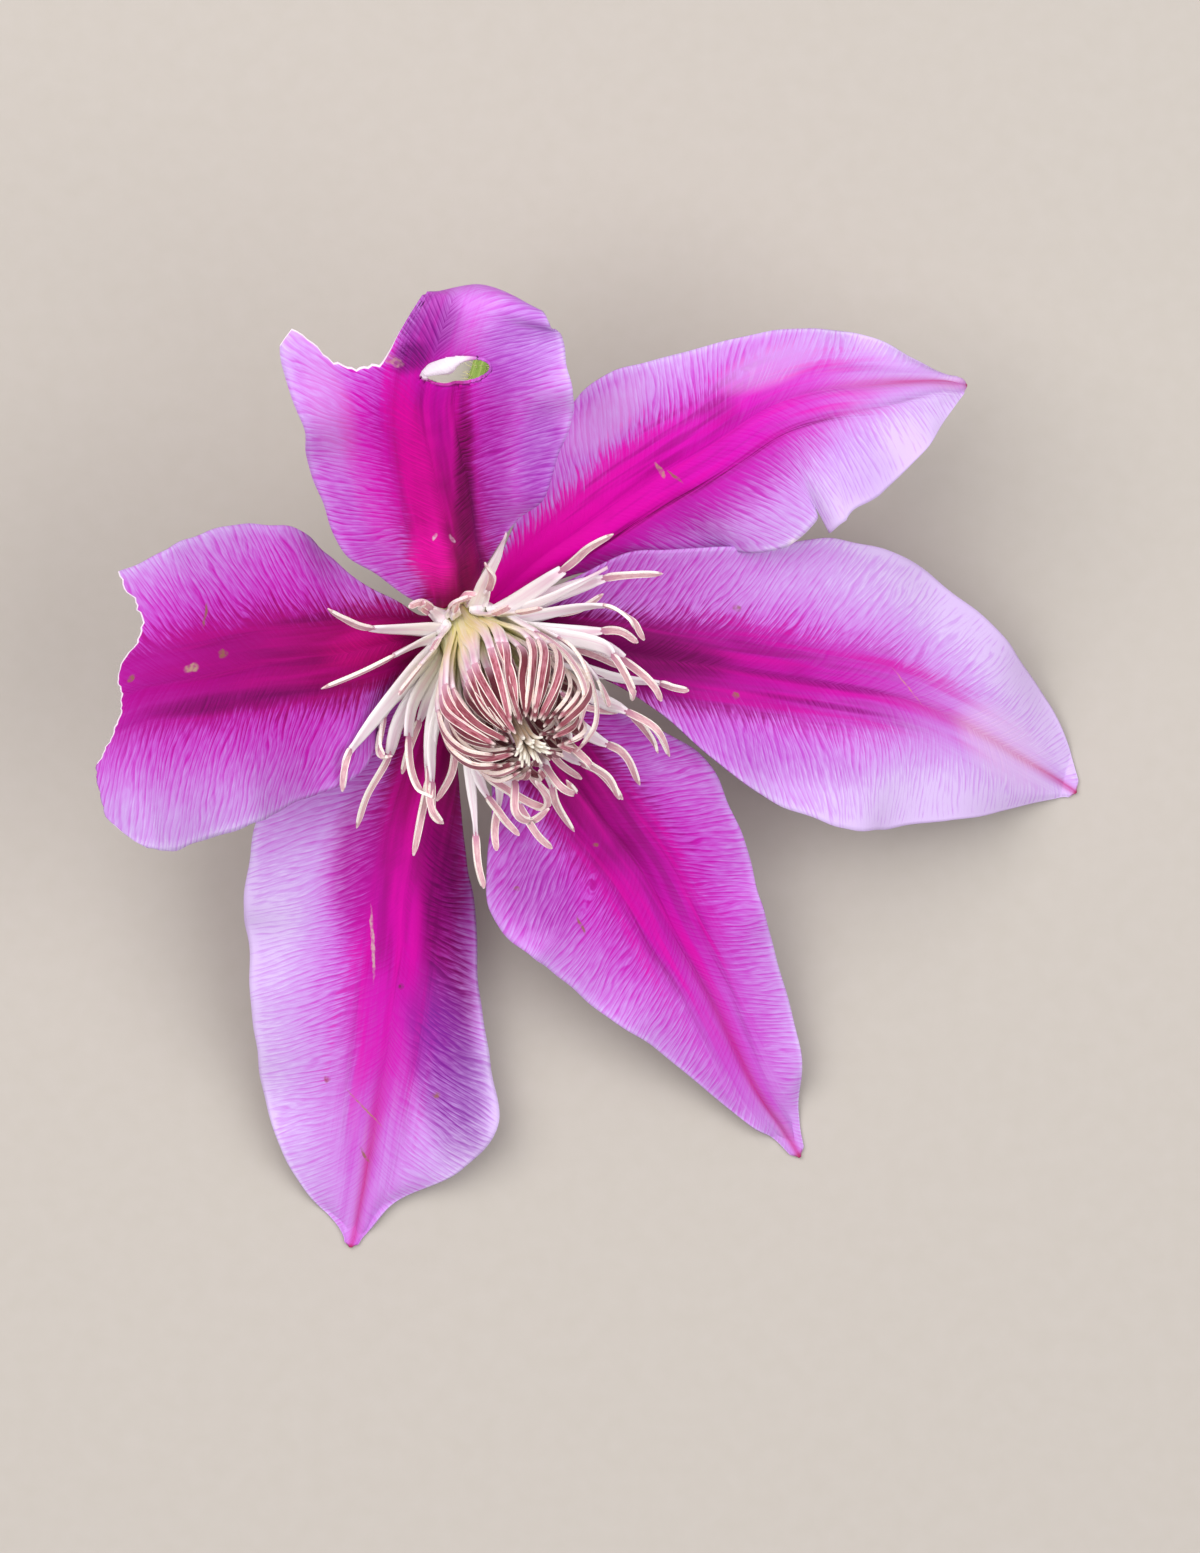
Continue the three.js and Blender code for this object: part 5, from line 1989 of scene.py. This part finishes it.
def sepal_right() -> Sepal:
    """The right sepal, whose tip hangs down to the surface.

    Returns:
        The sepal.
    """
    stations = (
        (9.5, -1.3, -0.3, 7.0, 2.0, 2.0, 0.8), (16.6, -2.5, -0.6, 12.0, 4.0, 3.3, 1.5),
        (24.0, -4.0, -1.4, 13.6, 5.4, 6.3, 2.0), (32.6, -5.3, -2.8, 15.0, 4.4, 12.0, 2.0),
        (40.7, -6.5, -4.7, 17.2, 3.0, 15.5, 1.5), (48.8, -7.8, -7.2, 16.4, 0.8, 16.8, 0.8),
        (56.0, -10.0, -10.4, 13.4, -0.4, 15.5, 0.0), (62.5, -13.2, -14.4, 10.8, -1.0, 11.5, -0.8),
        (68.5, -16.8, -19.8, 7.8, -0.8, 6.2, -0.6), (72.5, -19.2, -23.7, 3.0, -0.2, 2.0, -0.2),
        (74.2, -20.3, -24.5, 0.7, 0, 0.7, 0))
    # The dark patch at the base is a painted shadow of the stamens, the purple one on the lower side painted
    # shade and the pale one at the tip painted light.
    tint_and_shading_patches = (
        TintAndShadingPatch(24.9, -3.6, 8.5, 2.6, -9, "66004C", 0.7), TintAndShadingPatch(41.6, -6.8, 13, 0.6, -9, "84006C", 0.6),
        TintAndShadingPatch(42.4, -9.4, 11, 0.45, -10, "84006C", 0.6),
        TintAndShadingPatch(35.5, -15.0, 14, 3.6, -14, "B844C8", 0.45),
        TintAndShadingPatch(65.0, -14.5, 8.0, 4.0, -40, "FFE4FF", 0.35))
    marks = (
        Mark(32.5, 2.0, 0.55, 0.4), Mark(32.4, -8.4, 0.5, 0.4), Mark(53.2, -7.4, 3.0, 0.1, -51, "D98A9A"))
    # Its very dark core and its shade near the base are a painted shadow of the stamens.
    face = SepalFace(seed=23.0, core="74004A", middle="BE009C", shade=0.3, lift=0.03, tint_and_shading_patches=tint_and_shading_patches,
                     marks=marks, streak_highlight="DC00A4", dim=0.17)
    return Sepal("sepal_right", base=51, heading=-13, waves=5, phase=4.0, stations=stations, face=face,
                 calm_from=0.6, creases=(0.15, 0.25, 0.15))


def sepal_lower_right() -> Sepal:
    """The lower right sepal, whose tip is the flower's rest on the surface.

    Returns:
        The sepal.
    """
    stations = (
        (7.0, -10.5, -2.4, 5.4, 0.8, 5.2, 1.0), (11.6, -16.7, -4.2, 10.2, 1.4, 10.7, 2.0),
        (16.5, -23.6, -6.5, 14.4, 1.8, 17.0, 2.5), (21.6, -30.4, -9.2, 13.0, 1.6, 16.2, 2.2),
        (25.5, -37.5, -12.2, 11.1, 1.0, 13.6, 1.6), (29.7, -45.0, -15.4, 9.2, 0.4, 9.6, 0.8),
        (34.9, -55.4, -20.0, 6.6, 0, 4.6, 0), (38.6, -61.0, -23.4, 2.4, 0, 1.8, 0),
        (40.7, -64.5, -24.5, 0.7, 0, 0.7, 0))
    # The purple patch is painted shade.
    tint_and_shading_patches = (
        TintAndShadingPatch(9.2, -32.0, 7.0, 5.0, -60, "9C24A0", 0.5),)
    marks = (
        Mark(6.3, -31.5, 0.45, 0.35), Mark(15.7, -26.2, 0.4, 0.3), Mark(14.0, -36.0, 1.4, 0.2, -65))
    # Its darker core, its shade near the base and its dim are painted shade on a sepal that lies in shade.
    face = SepalFace(seed=37.0, core="9C0062", middle="C4009E", shade=0.3, tint_and_shading_patches=tint_and_shading_patches, marks=marks,
                     dim=0.18)
    return Sepal("sepal_lower_right", base=4, heading=-58, waves=5, phase=1.1, stations=stations,
                 face=face,
                 fading=((0, 0, 4, 0.02, 0.45), (0.15, 0, 5, 0.04, 0.46), (0.28, 0, 7.5, 0.07, 0.52),
                         (0.43, 0, 18, 0.17, 0.66), (0.58, 0, 17, 0.27, 0.76), (0.73, 0, 12, 0.44, 0.88),
                         (0.88, 0, 8, 0.72, 0.94), (1, 0, 5, 0.7, 0.94)))


def sepal_bottom() -> Sepal:
    """The bottom sepal, the longest, hollow along its right side.

    Returns:
        The sepal.
    """
    stations = (
        (-1.8, -8.0, -1.4, 2.0, -1.5, 4.5, 0.3), (-2.7, -13.0, -2.4, 2.4, -3.2, 9.6, 0.5),
        (-4.3, -19.0, -3.4, 3.8, -5.4, 15.0, 0.8), (-5.7, -24.4, -4.6, 5.2, -7.4, 18.4, 1.0),
        (-6.9, -31.5, -6.3, 7.1, -8.4, 19.2, 1.0), (-7.8, -38.4, -8.5, 8.8, -8.0, 18.7, 0.8),
        (-9.2, -45.5, -11.2, 10.9, -6.0, 16.8, 0.4), (-10.4, -52.2, -14.2, 13.4, -3.5, 15.0, 0.0),
        (-11.5, -58.5, -17.3, 15.6, -1.5, 13.0, 0.0), (-12.3, -64.3, -20.0, 12.0, -0.5, 10.0, 0.0),
        (-13.0, -69.5, -22.3, 4.6, 0.0, 6.2, 0.0), (-13.5, -73.5, -24.1, 1.6, 0.0, 1.6, 0.0),
        (-13.8, -75.4, -24.5, 0.7, 0, 0.7, 0))
    # The dark patches are painted shade: the crease right of the bar, its hollow right half and the shadow
    # that the left sepal casts near the base. The bright magenta patches beside the bar partly paint light
    # on its lit side.
    tint_and_shading_patches = (
        TintAndShadingPatch(-13.0, -31, 10, 4.5, 95, "C414B0", 0.4), TintAndShadingPatch(-10.0, -50, 10, 4.6, 98, "DC18BC", 0.5),
        TintAndShadingPatch(-2.3, -38, 18, 3.6, 96, "760060", 0.8), TintAndShadingPatch(-2.2, -53.5, 14, 4.8, 100, "84249A", 0.75),
        TintAndShadingPatch(-7.0, -34, 14, 2.4, 97, "DA00AC", 0.45), TintAndShadingPatch(-12.4, -28.0, 11, 3.6, 86, "AC0A92", 0.6),
        TintAndShadingPatch(1.2, -57, 9.0, 3.0, 96, "8A4CA6", 0.3))
    marks = (
        Mark(-11.0, -38.2, 4.6, 0.24, 92, "D8B4B4"), Mark(-7.6, -43.3, 0.4, 0.4, 0, "3E3226"),
        Mark(-16.5, -54.6, 0.45, 0.45, 0, "A84A5E"), Mark(-12.1, -58.2, 3.2, 0.12, -47, "B98468"),
        Mark(-3.4, -56.6, 0.5, 0.4), Mark(-12.1, -63.9, 1.3, 0.2, -60))
    face = SepalFace(seed=41.0, core="B00062", middle="CC009C", shade=0.35, tint_and_shading_patches=tint_and_shading_patches, marks=marks,
                     dim=0.12)
    return Sepal("sepal_bottom", base=-43, heading=-101, waves=5, phase=3.0, stations=stations,
                 face=face, creases=(0.2, 0.3, 0.35),
                 bar=((0, 3.6), (0.15, 4.6), (0.35, 5.6), (0.55, 6.0), (0.72, 5.4), (0.86, 3.0),
                      (0.95, 1.4), (1, 0.7)),
                 shift=((0, 0), (0.4, 0), (0.6, 1.0), (0.8, 0.6), (1, 0)),
                 fading=((0, 0, 4, 0.02, 0.45), (0.15, 0, 5, 0.04, 0.46), (0.28, 0, 9, 0.05, 0.66),
                         (0.43, 1, 15, 0.1, 0.96), (0.58, 0, 16, 0.3, 0.92), (0.73, -1, 13, 0.56, 0.9),
                         (0.88, -1, 8, 0.62, 0.88), (1, 0, 5, 0.6, 0.88)))


def sepal_left() -> Sepal:
    """The left sepal, whose end is bitten off.

    Returns:
        The sepal.
    """
    stations = (
        (-6.4, -1.6, 3.4, 3.8, 0.2, 3.8, 1.0), (-10.4, -3.3, 7.1, 8.0, -1.0, 7.9, 2.0),
        (-15.0, -4.7, 11.0, 13.4, -2.4, 13.8, 2.5), (-20.0, -5.8, 14.8, 14.6, -3.4, 17.6, 2.8),
        (-26.0, -7.0, 18.7, 16.0, -3.0, 18.6, 2.5), (-32.0, -8.6, 22.1, 16.4, -2.2, 17.6, 1.6),
        (-38.0, -10.0, 24.6, 16.8, -1.4, 16.0, 0.5), (-41.5, -10.9, 25.7, 15.4, -1.2, 15.0, -0.5),
        (-44.6, -11.7, 26.3, 13.0, -1.0, 13.0, -1.0))
    tint_and_shading_patches = (
        TintAndShadingPatch(-26.9, -9.0, 12, 1.5, 7, "78005E", 0.65), TintAndShadingPatch(-11.4, -2.4, 6.0, 2.6, 12, "E40490", 0.5))
    marks = (
        Mark(-28.3, -3.3, 0.6, 0.5), Mark(-32.0, -5.0, 0.9, 0.5, 20, "C9A98A"),
        Mark(-39.0, -6.2, 0.6, 0.35, 40), Mark(-30.4, 1.2, 1.7, 0.18, 80))
    # Its dark core, darker streak colour and heavy dim are painted shade on a sepal turned from the lamps.
    face = SepalFace(seed=53.0, core="9E0056", middle="A80080", shade=0.2, core_end=0.85, tint_and_shading_patches=tint_and_shading_patches,
                     marks=marks, streak_highlight="CC0090", dim=0.27)
    return Sepal("sepal_left", base=-126, heading=192, waves=4, phase=5.1, stations=stations, face=face,
                 pointed=False, ridge=0.0,
                 end=((-1, 0.75), (-0.92, 0.756), (-0.8, 0.74), (-0.65, 0.728), (-0.52, 0.735),
                      (-0.3, 0.823), (-0.19, 0.822), (-0.07, 0.83), (0.03, 0.862), (0.13, 0.895),
                      (0.36, 0.985), (0.5, 1), (0.84, 1), (0.94, 0.96), (1, 0.84)),
                 bar=((0, 3.6), (0.15, 4.6), (0.35, 5.8), (0.55, 6.0), (0.75, 5.6), (1, 4.6)),
                 shift=((0, 0), (0.3, -1), (0.5, -2), (0.75, -2.6), (0.9, -1.6), (1, -1)),
                 fading=((0, 0, 4, 0.02, 0.5), (0.15, 0, 5, 0.04, 0.55), (0.28, 0, 8, 0.07, 0.5),
                         (0.43, 0, 17, 0.13, 0.52), (0.58, 0, 20, 0.1, 0.78), (0.73, 0, 19, 0.16, 0.8),
                         (0.88, 0, 15, 0.24, 0.82), (1, 0, 14, 0.3, 0.84)))


SEPALS = (sepal_top, sepal_upper_right, sepal_right, sepal_lower_right, sepal_bottom, sepal_left)


# Studio.


@dataclass(frozen=True)
class Lamp:
    """A soft square lamp aimed at the flower: its place and side in metres, power in watts and colour."""

    name: str
    place: tuple[float, float, float]
    side: float
    power: float
    code: str

    def build(self) -> None:
        """Hangs the lamp."""
        light = bpy.data.lights.new(self.name, "AREA")
        light.shape, light.size, light.energy = "SQUARE", self.side, self.power
        light.color = linear(self.code)[:3]
        lamp = add_object(self.name, light)
        lamp.location = self.place
        lamp.rotation_euler = (Vector((0, 0, 0.02)) - Vector(self.place)).to_track_quat("-Z", "Y").to_euler()


@dataclass
class Studio:
    """A pale floor, soft lamps to the upper left and the right, and the camera above the flower."""

    lamps: Sequence[Lamp] = (Lamp("key", (-0.36, 0.28, 0.82), 0.8, 7.2, "FFFDFC"),
                             Lamp("top", (0.6, -0.05, 0.92), 0.9, 6.3, "FDFDFF"))
    room: str = "F2F2F4"
    room_strength: float = 0.47
    floor_size: float = 6.0
    camera_height: float = 1424.0
    frame_width: float = 143.0
    photo_size: tuple[int, int] = (1200, 1553)
    sensor: float = 36.0

    def floor(self) -> None:
        """The pale floor under the flower."""
        start_fresh()
        bpy.ops.mesh.primitive_plane_add(size=self.floor_size, location=(0, 0, 0))
        floor = settle("studio_floor")
        floor.data.materials.append(FloorFinish().make("studio floor"))

    def camera(self) -> None:
        """The camera straight above the receptacle, aimed at the middle of the flower."""
        lens = bpy.data.cameras.new("camera")
        camera = add_object("camera", lens)
        place = Vector((RECEPTACLE[0], RECEPTACLE[1], self.camera_height)) * MM
        aim = Vector((0, 0, RECEPTACLE[2])) * MM
        back = (place - aim).normalized()
        right = Vector((0, 1, 0)).cross(back).normalized()
        turn = Matrix((right, back.cross(right), back)).transposed()
        camera.matrix_world = Matrix.Translation(place) @ turn.to_4x4()
        long_side = self.frame_width * max(self.photo_size) / self.photo_size[0]
        lens.sensor_width = self.sensor
        lens.lens = self.sensor * (self.camera_height - RECEPTACLE[2]) / long_side
        lens.clip_start, lens.clip_end = 0.05, 20
        bpy.context.scene.camera = camera

    def build(self) -> None:
        """Sets the camera, the floor, the lamps and the pale room around them."""
        self.camera()
        self.floor()
        for lamp in self.lamps:
            lamp.build()
        world = bpy.data.worlds.new("pale room")
        world.use_nodes = True
        background = world.node_tree.nodes["Background"]
        background.inputs["Color"].default_value = linear(self.room)
        background.inputs["Strength"].default_value = self.room_strength
        bpy.context.scene.world = world
        bpy.context.scene.view_settings.view_transform = "Standard"


def write_sizes() -> None:
    """Writes the CAD box and the visual model's box to a file as plain lists of numbers.
    """
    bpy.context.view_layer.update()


def main() -> None:
    """Builds the studio and then the flower, from the outside in."""
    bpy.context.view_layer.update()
    Studio().build()
    for sepal in SEPALS:
        sepal().build()
    blanks = Blanks().build()
    Stalk().build()
    OuterStamens(blanks).build()
    InnerStamens(blanks).build()
    Styles(blanks).build()
    for blank in blanks.values():
        bpy.data.objects.remove(blank)
    write_sizes()


if __name__ == "__main__":
    main()
